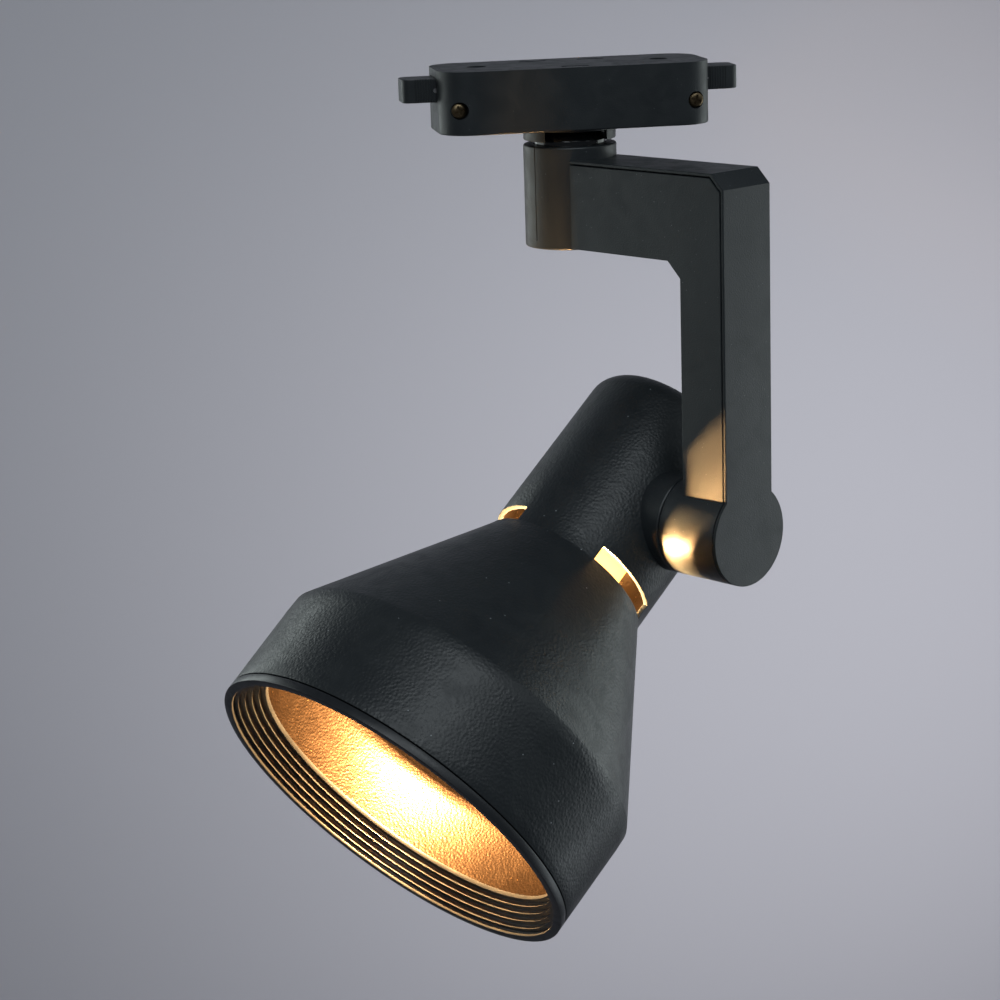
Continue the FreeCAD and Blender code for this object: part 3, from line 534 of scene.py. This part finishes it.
spring_start = 0.0174
spring_height = -0.0052
coil_radius = 0.0017
wire_radius = 0.00032
coil_pitch = 0.00154
coil_turns = 4
spring_steel = finish("spring_steel", (0.36, 0.37, 0.39), (0.46, 0.47, 0.49), 0.22, 0.36,
                      1400.0, 0.00001, patches=200.0, metal=1.0)


def return_spring(side, label):
    """One spring: a ring of wire wound up along its axis and closed at both ends."""
    bpy.ops.object.select_all(action="DESELECT")
    bpy.ops.mesh.primitive_circle_add(vertices=12, radius=wire_radius, location=(coil_radius, 0, 0),
                                      rotation=(math.pi / 2, 0, 0))
    spring = named(label + "_return_spring")
    coil = spring.modifiers.new("coil", "SCREW")
    coil.screw_offset = coil_pitch
    coil.iterations = coil_turns
    coil.steps = 32
    coil.render_steps = 32
    bpy.ops.object.modifier_apply(modifier="coil")
    bpy.ops.object.mode_set(mode="EDIT")
    bpy.ops.mesh.select_all(action="SELECT")
    bpy.ops.mesh.fill_holes(sides=12)
    bpy.ops.mesh.select_all(action="SELECT")
    bpy.ops.mesh.normals_make_consistent(inside=False)
    bpy.ops.object.mode_set(mode="OBJECT")
    finish_form(spring, spring.name, 60)
    place = (Matrix.Translation((side * spring_start, 0, spring_height))
             @ Matrix.Rotation(side * math.pi / 2, 4, "Y"))
    settle(spring, place, "adapter", "spring_steel", ["latch_spring_" + label], spring_steel)
    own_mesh(spring)


return_spring(-1, "left")
return_spring(1, "right")


# ---------------------------------------------------------------- adapter screws
# Two small cross-recessed screws of darkened brass hold the carrier in the housing. Each has a
# low domed head at the bottom of its recess.

dark_brass = finish("dark_brass", (0.10, 0.075, 0.045), (0.16, 0.12, 0.07), 0.30, 0.45, 1500.0, 0.00002,
                    patches=200.0, metal=1.0)


def turned(name, rings, segments, solid=True):
    """A part turned about Z through (radius, height) rings; a solid one has flat ends."""
    bpy.ops.object.select_all(action="DESELECT")
    radius, height = rings[0]
    bpy.ops.mesh.primitive_circle_add(vertices=segments, radius=radius, location=(0, 0, height),
                                      fill_type="NGON" if solid else "NOTHING")
    part = named(name)
    bpy.ops.object.mode_set(mode="EDIT")
    bpy.ops.mesh.select_mode(type="VERT")
    bpy.ops.mesh.select_all(action="SELECT")
    for next_radius, next_height in rings[1:]:
        bpy.ops.mesh.extrude_region_move(
            TRANSFORM_OT_translate={"value": (0, 0, next_height - height)})
        scale = next_radius / radius
        bpy.ops.transform.resize(value=(scale, scale, 1), center_override=(0, 0, next_height))
        radius, height = next_radius, next_height
    bpy.ops.mesh.select_all(action="SELECT")
    bpy.ops.mesh.remove_doubles(threshold=1e-6)
    bpy.ops.mesh.normals_make_consistent(inside=False)
    bpy.ops.object.mode_set(mode="OBJECT")
    return part


def side_screws():
    """Both adapter screws, as one piece."""
    screws = []
    for side in (-1, 1):
        screw = turned("screw", [(0.00145, 0.0092), (0.00145, 0.0018), (0.0023, 0.0018),
                                 (0.0023, 0.0006), (0.0019, 0.0002), (0.0010, 0)], 40)
        carve(screw, block("blade", (-0.0015, -0.0003, -0.001), (0.0015, 0.0003, 0.0008)),
              block("blade", (-0.0003, -0.0015, -0.001), (0.0003, 0.0015, 0.0008)))
        screw.matrix_world = (Matrix.Translation((side * side_screw_reach, -0.0159, side_screw_height))
                              @ Matrix.Rotation(-math.pi / 2, 4, "X")
                              @ Matrix.Rotation(math.radians(side * 20), 4, "Z"))
        screws.append(screw)
    bpy.ops.object.select_all(action="DESELECT")
    for screw in screws:
        screw.select_set(True)
    bpy.context.view_layer.objects.active = screws[0]
    bpy.ops.object.join()
    bpy.ops.object.transform_apply(location=True, rotation=True, scale=True)
    finish_form(screws[0], "cross_screws")
    settle(screws[0], Matrix(), "adapter", "dark_brass", ["adapter_side_screws"], dark_brass)


side_screws()


# ---------------------------------------------------------------- swivel
# A hollow steel stem hangs from the adapter and carries the arm. A moulded stop ring stands
# round it under the adapter, and a gloss collar closes the top of the arm's barrel.

joints = {joint["name"]: joint for joint in frame["joints"]}
swivel_angle = math.radians(-55.5)
arm_place = Matrix.Translation(joints["swivel"]["pos_m"]) @ Matrix.Rotation(swivel_angle, 4, "Z")
collar_radius = 0.0112
collar_bore = 0.0053
collar_rings = [(collar_bore, 0), (collar_radius, 0), (collar_radius, 0.0011), (0.01108, 0.0016),
                (0.0104, 0.0028), (0.0100, 0.0032), (0.0086, 0.0040), (0.0082, 0.0041),
                (collar_bore, 0.0041), (collar_bore, 0)]
collar = turned("gloss_collar", collar_rings, 96, solid=False)
finish_form(collar, "gloss_collar", 50)
gloss = finish("gloss_black", (0.010, 0.012, 0.014), (0.014, 0.016, 0.018), 0.12, 0.20, 3000.0, 0.000005,
               coat=0.3)
settle(collar, arm_place, "arm", "gloss_black", ["swivel_collar"], gloss)

stop_low, stop_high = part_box("stop_ring")
stop = rod("stop_segments", stop_high.x, (0, 0, stop_low.z), (0, 0, stop_high.z), 96)
pick(stop, "EDGE", lambda middle, along: middle.z < stop_low.z + 1e-5)
round_picked(0.0003, 2)
carve(stop, rod("well", 0.0115, (0, 0, stop_low.z - 0.002), (0, 0, stop_high.z - 0.0008), 96),
      block("gap", (-0.0095, -0.02, stop_low.z - 0.002), (0.0095, 0.02, stop_high.z - 0.0008)),
      rod("bore", stem_bore, (0, 0, -0.03), (0, 0, 0)))
finish_form(stop, "stop_segments")
settle(stop, Matrix(), "adapter", "black_moulding", ["stop_ring"], moulding)

plated_steel = finish("plated_steel", (0.42, 0.42, 0.43), (0.52, 0.52, 0.53), 0.28, 0.42,
                      1100.0, 0.00001, patches=90.0, metal=1.0)
dress_nodes(plated_steel, "swivel_stem", "stem_nut_upper", "stem_nut_lower", "swivel_friction_washer",
            "stop_washer", "barrel_cover_screw", "arm_cover_screws", "pivot_bolt", "pivot_saddle",
            "pivot_friction_washer", "pivot_spring_washer", "pivot_nut", "holder_bracket",
            "holder_screws")


# ---------------------------------------------------------------- arm
# A die-cast aluminium channel: half a barrel, a cranked beam, a leg and a round knuckle. A thin
# cranked cover closes its top and outer side, and leaves a fine seam. Both are powder coated.

barrel_radius = 0.01425
barrel_low = -0.0311
arm_wall = 0.0022
arm_half_depth = 0.0103
arm_top = -0.0040
arm_bottom = -0.0307
arm_reach = 0.0710
leg_inner = 0.05385
outer_chamfer = 0.0045
inner_chamfer = 0.0048
cover_skin = 0.0008
skin_back = 0.0013
lip_depth = 0.0028
pivot_height = -0.1122
knuckle_radius = 0.01545
under_screw = -0.00965
screw_recess = 0.0027
screw_pilot = 0.00125
bolt_bore = 0.00505
edge_round = 0.0003
cover_floor = barrel_low + 0.0024
chamfer_share = math.tan(math.radians(22.5))
back_screws = [(arm_reach - 0.030, arm_top - 0.0075), (arm_reach - 0.008, -0.062)]
# The powder coat's rare pale specks are painted glints.
powder = finish("powder_coat", (0.014, 0.018, 0.021), (0.021, 0.026, 0.029), 0.38, 0.50,
                2600.0, 0.00006, 0.5, 0.006, (0.30, 0.33, 0.35))


def cranked_bar(name, inset, half_depth, bottom, leg, foot, edge=0.0):
    """The beam and leg as one solid bar, with its two corners cut at 45 degrees."""
    top, reach = arm_top - inset, arm_reach - inset
    bar = block(name, (0.006, -half_depth, bottom), (reach, half_depth, top))
    active(bar)
    bpy.ops.object.mode_set(mode="EDIT")
    bpy.ops.mesh.select_all(action="SELECT")
    bpy.ops.mesh.bisect(plane_co=(leg, 0, 0), plane_no=(1, 0, 0))
    bpy.ops.object.mode_set(mode="OBJECT")
    pick(bar, "FACE", lambda middle, normal: normal.z < -0.9 and middle.x > leg)
    bpy.ops.mesh.extrude_region_move(TRANSFORM_OT_translate={"value": (0, 0, foot - bottom)})
    bpy.ops.object.mode_set(mode="OBJECT")
    pick(bar, "EDGE", lambda middle, along: abs(along.y) > 0.9 and middle.z > top - 1e-5
         and middle.x > reach - 1e-5)
    round_picked(outer_chamfer - inset * chamfer_share, 1)
    pick(bar, "EDGE", lambda middle, along: abs(along.y) > 0.9 and abs(middle.z - bottom) < 1e-5
         and abs(middle.x - leg) < 1e-5)
    round_picked(inner_chamfer, 1)
    if edge:
        pick(bar, "EDGE", lambda middle, along: abs(along.y) < 0.1 and 0.007 < middle.x
             and abs(abs(middle.y) - half_depth) < 1e-6 and middle.z > foot + 1e-5)
        round_picked(edge, 2)
    return bar


def crosswise(name, radius, start, end, height=0.0, sides=96):
    """A round bar along the arm's X axis."""
    return rod(name, radius, (start, 0, height), (end, 0, height), sides)


casting = cranked_bar("arm_casting", skin_back, arm_half_depth, arm_bottom, leg_inner,
                      pivot_height, edge_round)
carve(casting, crosswise("knuckle", knuckle_radius, leg_inner, arm_reach - skin_back, pivot_height),
      operation="UNION")
carve(casting, rod("core", barrel_radius - 0.001, (0, 0, -0.04), (0, 0, 0.01), 96))
barrel = rod("barrel", barrel_radius, (0, 0, barrel_low), (0, 0, 0), 96)
pick(barrel, "EDGE", lambda middle, along: abs(along.z) < 0.1)
round_picked(0.0006, 3)
carve(barrel, rod("hollow", barrel_radius - arm_wall, (0, 0, cover_floor), (0, 0, -0.003), 96))
cover_room = block("cover_room", (-0.02, -0.02, cover_floor), (-0.0008, 0.02, 0.001))
carve(cover_room, rod("cap_stays", barrel_radius - arm_wall - 0.0001, (0, 0, -0.003), (0, 0, 0.002), 96))
carve(barrel, cover_room)
carve(casting, barrel, operation="UNION")
channel = cranked_bar("channel", -0.002, arm_half_depth - arm_wall, arm_bottom + arm_wall,
                      leg_inner + arm_wall, pivot_height)
carve(channel, rod("barrel_stays", barrel_radius - 0.00001, (0, 0, -0.06), (0, 0, 0.01), 96))
carve(casting, channel,
      crosswise("cavity", knuckle_radius - arm_wall, leg_inner + arm_wall, arm_reach + 0.005,
                pivot_height),
      block("passage", (0.002, -arm_half_depth + arm_wall, arm_bottom + arm_wall),
            (0.025, arm_half_depth - arm_wall, arm_top - 0.0024)),
      rod("stem_bore", stem_bore, (0, 0, -0.01), (0, 0, 0.001)),
      crosswise("bolt_bore", bolt_bore, 0.04, 0.06, pivot_height, 48),
      rod("barrel_screw_recess", screw_recess, (under_screw, 0, -0.04),
          (under_screw, 0, barrel_low + 0.0014), 40),
      rod("barrel_screw_hole", 0.0014, (under_screw, 0, -0.04), (under_screw, 0, -0.02), 40))
for screw_x, screw_z in back_screws:
    carve(casting, rod("screw_hole", shank_hole, (screw_x, 0.005, screw_z),
                       (screw_x, 0.012, screw_z), 40),
          rod("screw_recess", screw_recess, (screw_x, arm_half_depth - 0.0013, screw_z),
              (screw_x, 0.012, screw_z), 40))
carve(casting, block("stop_rib", (-0.0115, -0.0008, -0.0054), (-0.0084, 0.0008, -0.0025)),
      operation="UNION")
finish_form(casting, "arm_casting")
settle(casting, arm_place, "arm", "powder_coat", ["arm_body"], powder)

cap = cranked_bar("arm_cap", 0, arm_half_depth, arm_bottom, leg_inner, pivot_height, edge_round)
under = cranked_bar("under", cover_skin, 0.03, arm_bottom - 0.005, -0.005, pivot_height - 0.005)
carve(cap, under)
lip = cranked_bar("lip", 0.0004, arm_half_depth - arm_wall - 0.0001, arm_bottom, leg_inner, pivot_height)
lip_under = cranked_bar("lip_under", lip_depth, 0.03, arm_bottom - 0.005, -0.005, pivot_height - 0.005)
carve(lip, lip_under)
cap_disc = crosswise("cap_disc", knuckle_radius, arm_reach - cover_skin, arm_reach, pivot_height)
pick(cap_disc, "EDGE", lambda middle, along: abs(along.x) < 0.1 and middle.x > arm_reach - 1e-5)
round_picked(0.0002, 2)
lip_disc = crosswise("lip_disc", knuckle_radius - arm_wall - 0.0001, arm_reach - lip_depth,
                     arm_reach - 0.0002, pivot_height)
block_half = 0.003
block_front = 0.0036
(top_x, top_z), (side_x, side_z) = back_screws
back_wall = arm_half_depth - arm_wall - 0.0001
carve(cap, lip, cap_disc, lip_disc,
      block("top_block", (top_x - block_half, block_front, top_z - block_half),
            (top_x + block_half, back_wall, arm_top - 0.0005)),
      block("side_block", (side_x - block_half, block_front, side_z - block_half),
            (arm_reach - 0.0005, back_wall, side_z + block_half)), operation="UNION")
carve(cap, rod("barrel_clear", barrel_radius + 0.0001, (0, 0, -0.06), (0, 0, 0.01), 96))
for screw_x, screw_z in back_screws:
    carve(cap, rod("screw_pilot", screw_pilot, (screw_x, 0.0042, screw_z), (screw_x, 0.012, screw_z), 40))
finish_form(cap, "arm_cap")
settle(cap, arm_place, "arm", "powder_coat", ["arm_cover"], powder)

shell = rod("barrel_shell", barrel_radius, (0, 0, barrel_low + 0.00245), (0, 0, 0), 96)
pick(shell, "EDGE", lambda middle, along: middle.z > -1e-5)
round_picked(0.0006, 3)
carve(shell, rod("inside", barrel_radius - arm_wall, (0, 0, -0.06), (0, 0, 0.01), 96),
      block("far_half", (-0.00115, -0.02, -0.06), (0.02, 0.02, 0.01)))
boss = rod("boss", 0.003, (under_screw, 0, barrel_low + 0.00245), (under_screw, 0, -0.018), 40)
carve(shell, boss, operation="UNION")
carve(shell, rod("screw_pilot", screw_pilot, (under_screw, 0, -0.04), (under_screw, 0, -0.02), 40))
finish_form(shell, "barrel_shell")
settle(shell, arm_place, "arm", "powder_coat", ["barrel_cover"], powder)

lead_sheath = finish("lead_sheath", (0.50, 0.47, 0.40), (0.58, 0.55, 0.47), 0.40, 0.55, 1500.0, 0.00002)
dress_nodes(lead_sheath, "arm_leads", "head_leads")


# ---------------------------------------------------------------- tilt pivot
# The knuckle ring is a turned collar on the arm, and the boss is a turned stub welded to the
# shade's neck. The two faces turn on each other round a hollow bolt.

tilt_angle = math.radians(-53.2)
arm_axis = arm_place.to_3x3() @ Vector((1, 0, 0))
head_place = (Matrix.Translation(joints["tilt"]["pos_m"]) @ Matrix.Rotation(tilt_angle, 4, arm_axis)
              @ Matrix.Rotation(swivel_angle, 4, "Z"))
along_arm = Matrix.Rotation(math.pi / 2, 4, "Y")
pivot_place = arm_place @ Matrix.Translation((0, 0, pivot_height))
ring_start = 0.0483
boss_start = 0.036
boss_end = 0.04795
neck_radius = 0.0275
head_axis = 0.01615

ring = turned("knuckle_face", [(bolt_bore, ring_start), (knuckle_radius - 0.0005, ring_start),
                               (knuckle_radius - 0.00015, ring_start + 0.00015),
                               (knuckle_radius, ring_start + 0.0005), (knuckle_radius, leg_inner),
                               (bolt_bore, leg_inner), (bolt_bore, ring_start)], 96, solid=False)
finish_form(ring, "knuckle_face", 50)
settle(ring, pivot_place @ along_arm, "arm", "powder_coat", ["knuckle_ring"], powder)

boss = turned("neck_boss", [(bolt_bore, boss_start), (knuckle_radius, boss_start),
                            (knuckle_radius, boss_end - 0.0008),
                            (knuckle_radius - 0.00025, boss_end - 0.00025),
                            (knuckle_radius - 0.0008, boss_end), (bolt_bore, boss_end),
                            (bolt_bore, boss_start)], 96, solid=False)
boss.matrix_world = along_arm
active(boss)
bpy.ops.object.transform_apply(location=True, rotation=True, scale=True)
carve(boss, rod("neck", neck_radius + 0.00002, (head_axis, 0, -0.04), (head_axis, 0, 0.04), 180))
finish_form(boss, "neck_boss", 50)
settle(boss, head_place, "head", "powder_coat", ["head_boss"], powder)


# ---------------------------------------------------------------- shade
# A spun aluminium bell with a closed neck, a straight cone and a short band. It is sprayed with
# a pebbled black enamel outside, heavier on the band, and has three vent slots round the neck.

shade_place = head_place @ Matrix.Translation((head_axis, 0, 0))
shade_segments = 180
shade_wall = 0.0016
neck_end = 0.0345
neck_bend = 0.007
slot_top = -0.0249
slot_low = -0.0300
slot_start = -34
slot_sweep = 60
flare_start = -0.0304
shoulder = -0.0881
shoulder_radius = 0.0604
rim = -0.1226
rim_radius = 0.0600
shell_end = rim + 0.0029
bracket_top = 0.0294
pillar_radius = 0.003
cone_steps = 24
band_steps = 8


def arc(centre_radius, centre_height, bend, start, end, steps):
    """(radius, height) points of a bend, from one angle in degrees to another."""
    angles = [math.radians(start + (end - start) * step / steps) for step in range(steps + 1)]
    return [(centre_radius + bend * math.cos(a), centre_height + bend * math.sin(a)) for a in angles]


cone = [(neck_radius + (shoulder_radius - neck_radius) * step / cone_steps,
         flare_start + (shoulder - flare_start) * step / cone_steps) for step in range(1, cone_steps)]
band = [(shoulder_radius + (rim_radius - shoulder_radius) * step / band_steps,
         shoulder + (shell_end - shoulder) * step / band_steps) for step in range(1, band_steps + 1)]
shade_rings = ([(0.004, neck_end)]
               + arc(neck_radius - neck_bend, neck_end - neck_bend, neck_bend, 90, 0, 10)
               + [(neck_radius, 0.010), (neck_radius, -0.012), (neck_radius, slot_top),
                  (neck_radius, slot_low), (neck_radius + 0.0002, flare_start - 0.0002)]
               + cone + [(shoulder_radius - 0.0007, shoulder + 0.0012),
                         (shoulder_radius - 0.00015, shoulder + 0.0002)]
               + band)
shade = turned("shade_bell", shade_rings, shade_segments)
active(shade)


def in_slot_or_mouth(middle, normal):
    """Whether a face lies in a vent slot or closes the mouth."""
    turn = math.degrees(math.atan2(middle.y, middle.x)) - slot_start
    in_slot = slot_low < middle.z < slot_top and turn % 120 < slot_sweep
    return in_slot or abs(middle.z - shell_end) < 1e-5


pick(shade, "FACE", in_slot_or_mouth)
bpy.ops.mesh.delete(type="FACE")
bpy.ops.object.mode_set(mode="OBJECT")
# The enamel's rare pale specks are painted glints.
enamel = finish("shade_enamel", (0.013, 0.017, 0.020), (0.018, 0.023, 0.026), 0.40, 0.50,
                1100.0, 0.00016, 0.6, 0.004, (0.30, 0.33, 0.35))
# The inside is given a bronze metal colour, a painted warm glow that stands in for the lamp's light on
# the dark enamel, and gold specks of painted glint.
inside_glow_tint = finish("shade_inside_glow_tint", (0.084, 0.058, 0.040), (0.096, 0.067, 0.047), 0.30, 0.33,
                       1300.0, 0.00010, 0.6, 0.03, (0.6, 0.4, 0.2), metal=1.0)
shade.data.materials.append(enamel)
shade.data.materials.append(inside_glow_tint)
wall = shade.modifiers.new("wall", "SOLIDIFY")
wall.thickness = shade_wall
wall.offset = -1
wall.use_even_offset = True
wall.material_offset = 1
bpy.ops.object.modifier_apply(modifier="wall")
edges = shade.modifiers.new("edges", "BEVEL")
edges.width = 0.00025
edges.segments = 2
edges.limit_method = "ANGLE"
edges.angle_limit = math.radians(40)
bpy.ops.object.modifier_apply(modifier="edges")
for pillar_y in (-0.009, 0.009):
    carve(shade, rod("pillar", pillar_radius, (0, pillar_y, bracket_top),
                     (0, pillar_y, neck_end - 0.0005), 40), operation="UNION")
    carve(shade, rod("pilot", screw_pilot, (0, pillar_y, 0.020), (0, pillar_y, neck_end - 0.0019), 40))
carve(shade, crosswise("bolt_hole", bolt_bore, 0.015, 0.040))
active(shade)
bpy.ops.object.shade_smooth_by_angle(angle=math.radians(40))
inner_faces = [face.material_index for face in shade.data.polygons]
settle(shade, shade_place, "head", "shade_enamel", ["shade_shell"], enamel, inside_glow_tint)
shade.data.polygons.foreach_set("material_index", inner_faces)


# ---------------------------------------------------------------- baffle ring
# A black moulded ring pushed into the mouth. It has a flat lip outside and five stepped ribs
# inside that cut the glare of the lamp.

lip_height = 0.0025
lip_width = 0.0027
step_count = 5
rib_pitch = 0.0019
rib_step = 0.0011
rib_depth = 0.0017
spigot_radius = rim_radius - shade_wall - 0.0001

baffle_rings = [(rim_radius, rim), (rim_radius, rim + lip_height), (spigot_radius, rim + lip_height),
                (spigot_radius, rim + 0.009),
                (rim_radius - lip_width - step_count * rib_step, rim + step_count * rib_pitch + 0.0014)]
for rib in range(step_count, 0, -1):
    crest = rim_radius - lip_width - rib * rib_step
    foot = rim + rib * rib_pitch
    baffle_rings += [(crest, foot), (crest + rib_depth, foot - 0.0001),
                     (crest + rib_depth, foot - rib_pitch + 0.0008)]
baffle_rings += [(rim_radius - lip_width, rim + 0.0008), (rim_radius - lip_width, rim),
                 (rim_radius, rim)]
baffle = turned("stepped_baffle", baffle_rings, shade_segments, solid=False)
active(baffle)
edges = baffle.modifiers.new("edges", "BEVEL")
edges.width = 0.00012
edges.segments = 2
edges.limit_method = "ANGLE"
edges.angle_limit = math.radians(30)
bpy.ops.object.modifier_apply(modifier="edges")
bpy.ops.object.shade_smooth_by_angle(angle=math.radians(40))
# Its rare pale specks are painted glints.
baffle_black = finish("baffle_black", (0.012, 0.014, 0.017), (0.017, 0.020, 0.024), 0.34, 0.44,
                      2500.0, 0.00003, 0.4, 0.004, (0.3, 0.3, 0.3))
settle(baffle, shade_place, "head", "black_moulding", ["baffle_ring"], baffle_black)


# ---------------------------------------------------------------- lamp
# A classic pear-shaped lamp, lit. Its frosted glass glows, and the light comes from a thin
# upright filament, so it leaves through the vent slots as well as down the shade.

globe_radius = 0.029
globe_centre = -0.052
globe_join = 35
bulb_neck = 0.0146
join_radius = globe_radius * math.cos(math.radians(globe_join))
join_height = globe_centre + globe_radius * math.sin(math.radians(globe_join))
cone_top = join_height + (join_radius - bulb_neck) / math.tan(math.radians(globe_join))
bulb_rings = ([(bulb_neck - 0.0004, -0.0005), (bulb_neck, -0.003), (bulb_neck, cone_top + 0.002)]
              + [(bulb_neck + (join_radius - bulb_neck) * step / 6,
                  cone_top + (join_height - cone_top) * step / 6) for step in range(1, 6)]
              + arc(0, globe_centre, globe_radius, globe_join, -86, 28))
bulb = turned("lamp_glass", bulb_rings, 96)
pick(bulb, "FACE", lambda middle, normal: normal.z > 0.9 and middle.z > -0.001)
bpy.ops.mesh.delete(type="ONLY_FACE")
bpy.ops.object.mode_set(mode="OBJECT")
glass_wall = bulb.modifiers.new("glass_wall", "SOLIDIFY")
glass_wall.thickness = 0.0009
glass_wall.offset = -1
glass_wall.use_even_offset = True
bpy.ops.object.modifier_apply(modifier="glass_wall")
bpy.ops.object.shade_smooth_by_angle(angle=math.radians(60))

glow = bpy.data.materials.new("lit_frosted_glass")
glow.use_nodes = True
glow_tree = glow.node_tree
glow_shader = glow_tree.nodes["Principled BSDF"]
glow_shader.inputs["Base Color"].default_value = (0.9, 0.85, 0.75, 1)
glow_shader.inputs["Roughness"].default_value = 0.35
glow_shader.inputs["Emission Strength"].default_value = 2.2
glow_place = glow_tree.nodes.new("ShaderNodeTexCoord")
glow_turn = glow_tree.nodes.new("ShaderNodeMapping")
into_shade = shade_place.inverted()
glow_turn.inputs["Location"].default_value = into_shade.to_translation()
glow_turn.inputs["Rotation"].default_value = into_shade.to_euler("XYZ")
glow_parts = glow_tree.nodes.new("ShaderNodeSeparateXYZ")
glow_mix = glow_tree.nodes.new("ShaderNodeMix")
glow_mix.data_type = "RGBA"
glow_mix.inputs["A"].default_value = (1.0, 0.60, 0.12, 1)
glow_mix.inputs["B"].default_value = (1.0, 0.68, 0.30, 1)
glow_tree.links.new(glow_place.outputs["Object"], glow_turn.inputs["Vector"])
glow_tree.links.new(glow_turn.outputs["Vector"], glow_parts.inputs["Vector"])
glow_tree.links.new(spread(glow_tree, glow_parts.outputs["Z"], -0.015, -0.045, 0, 1),
                    glow_mix.inputs["Factor"])
glow_tree.links.new(glow_mix.outputs["Result"], glow_shader.inputs["Emission Color"])
settle(bulb, shade_place, "head", "frosted_glass", ["bulb_glass"], glow)
bulb.visible_shadow = False

filament_power = 7.5
for number, depth in enumerate((0.053, 0.058, 0.063, 0.068)):
    filament = bpy.data.lights.new("filament_%d" % number, "POINT")
    filament.energy = filament_power / 4
    filament.color = (1.0, 0.56, 0.22)
    filament.shadow_soft_size = 0.0016
    filament_lamp = bpy.data.objects.new(filament.name, filament)
    bpy.context.scene.collection.objects.link(filament_lamp)
    filament_lamp.matrix_world = shade_place @ Matrix.Translation((0, 0, -depth))
    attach(filament_lamp, "head")

ceramic = finish("glazed_ceramic", (0.70, 0.68, 0.62), (0.78, 0.76, 0.70), 0.20, 0.35,
                 700.0, 0.00002, coat=0.4)
dress_nodes(ceramic, "lampholder_body")
dress_nodes(plated_steel, "lampholder_sleeve", "bulb_cap")
tip_glass = finish("cap_insulator", (0.010, 0.010, 0.012), (0.018, 0.018, 0.020), 0.15, 0.25,
                   1200.0, 0.00002)
dress_nodes(tip_glass, "bulb_tip")
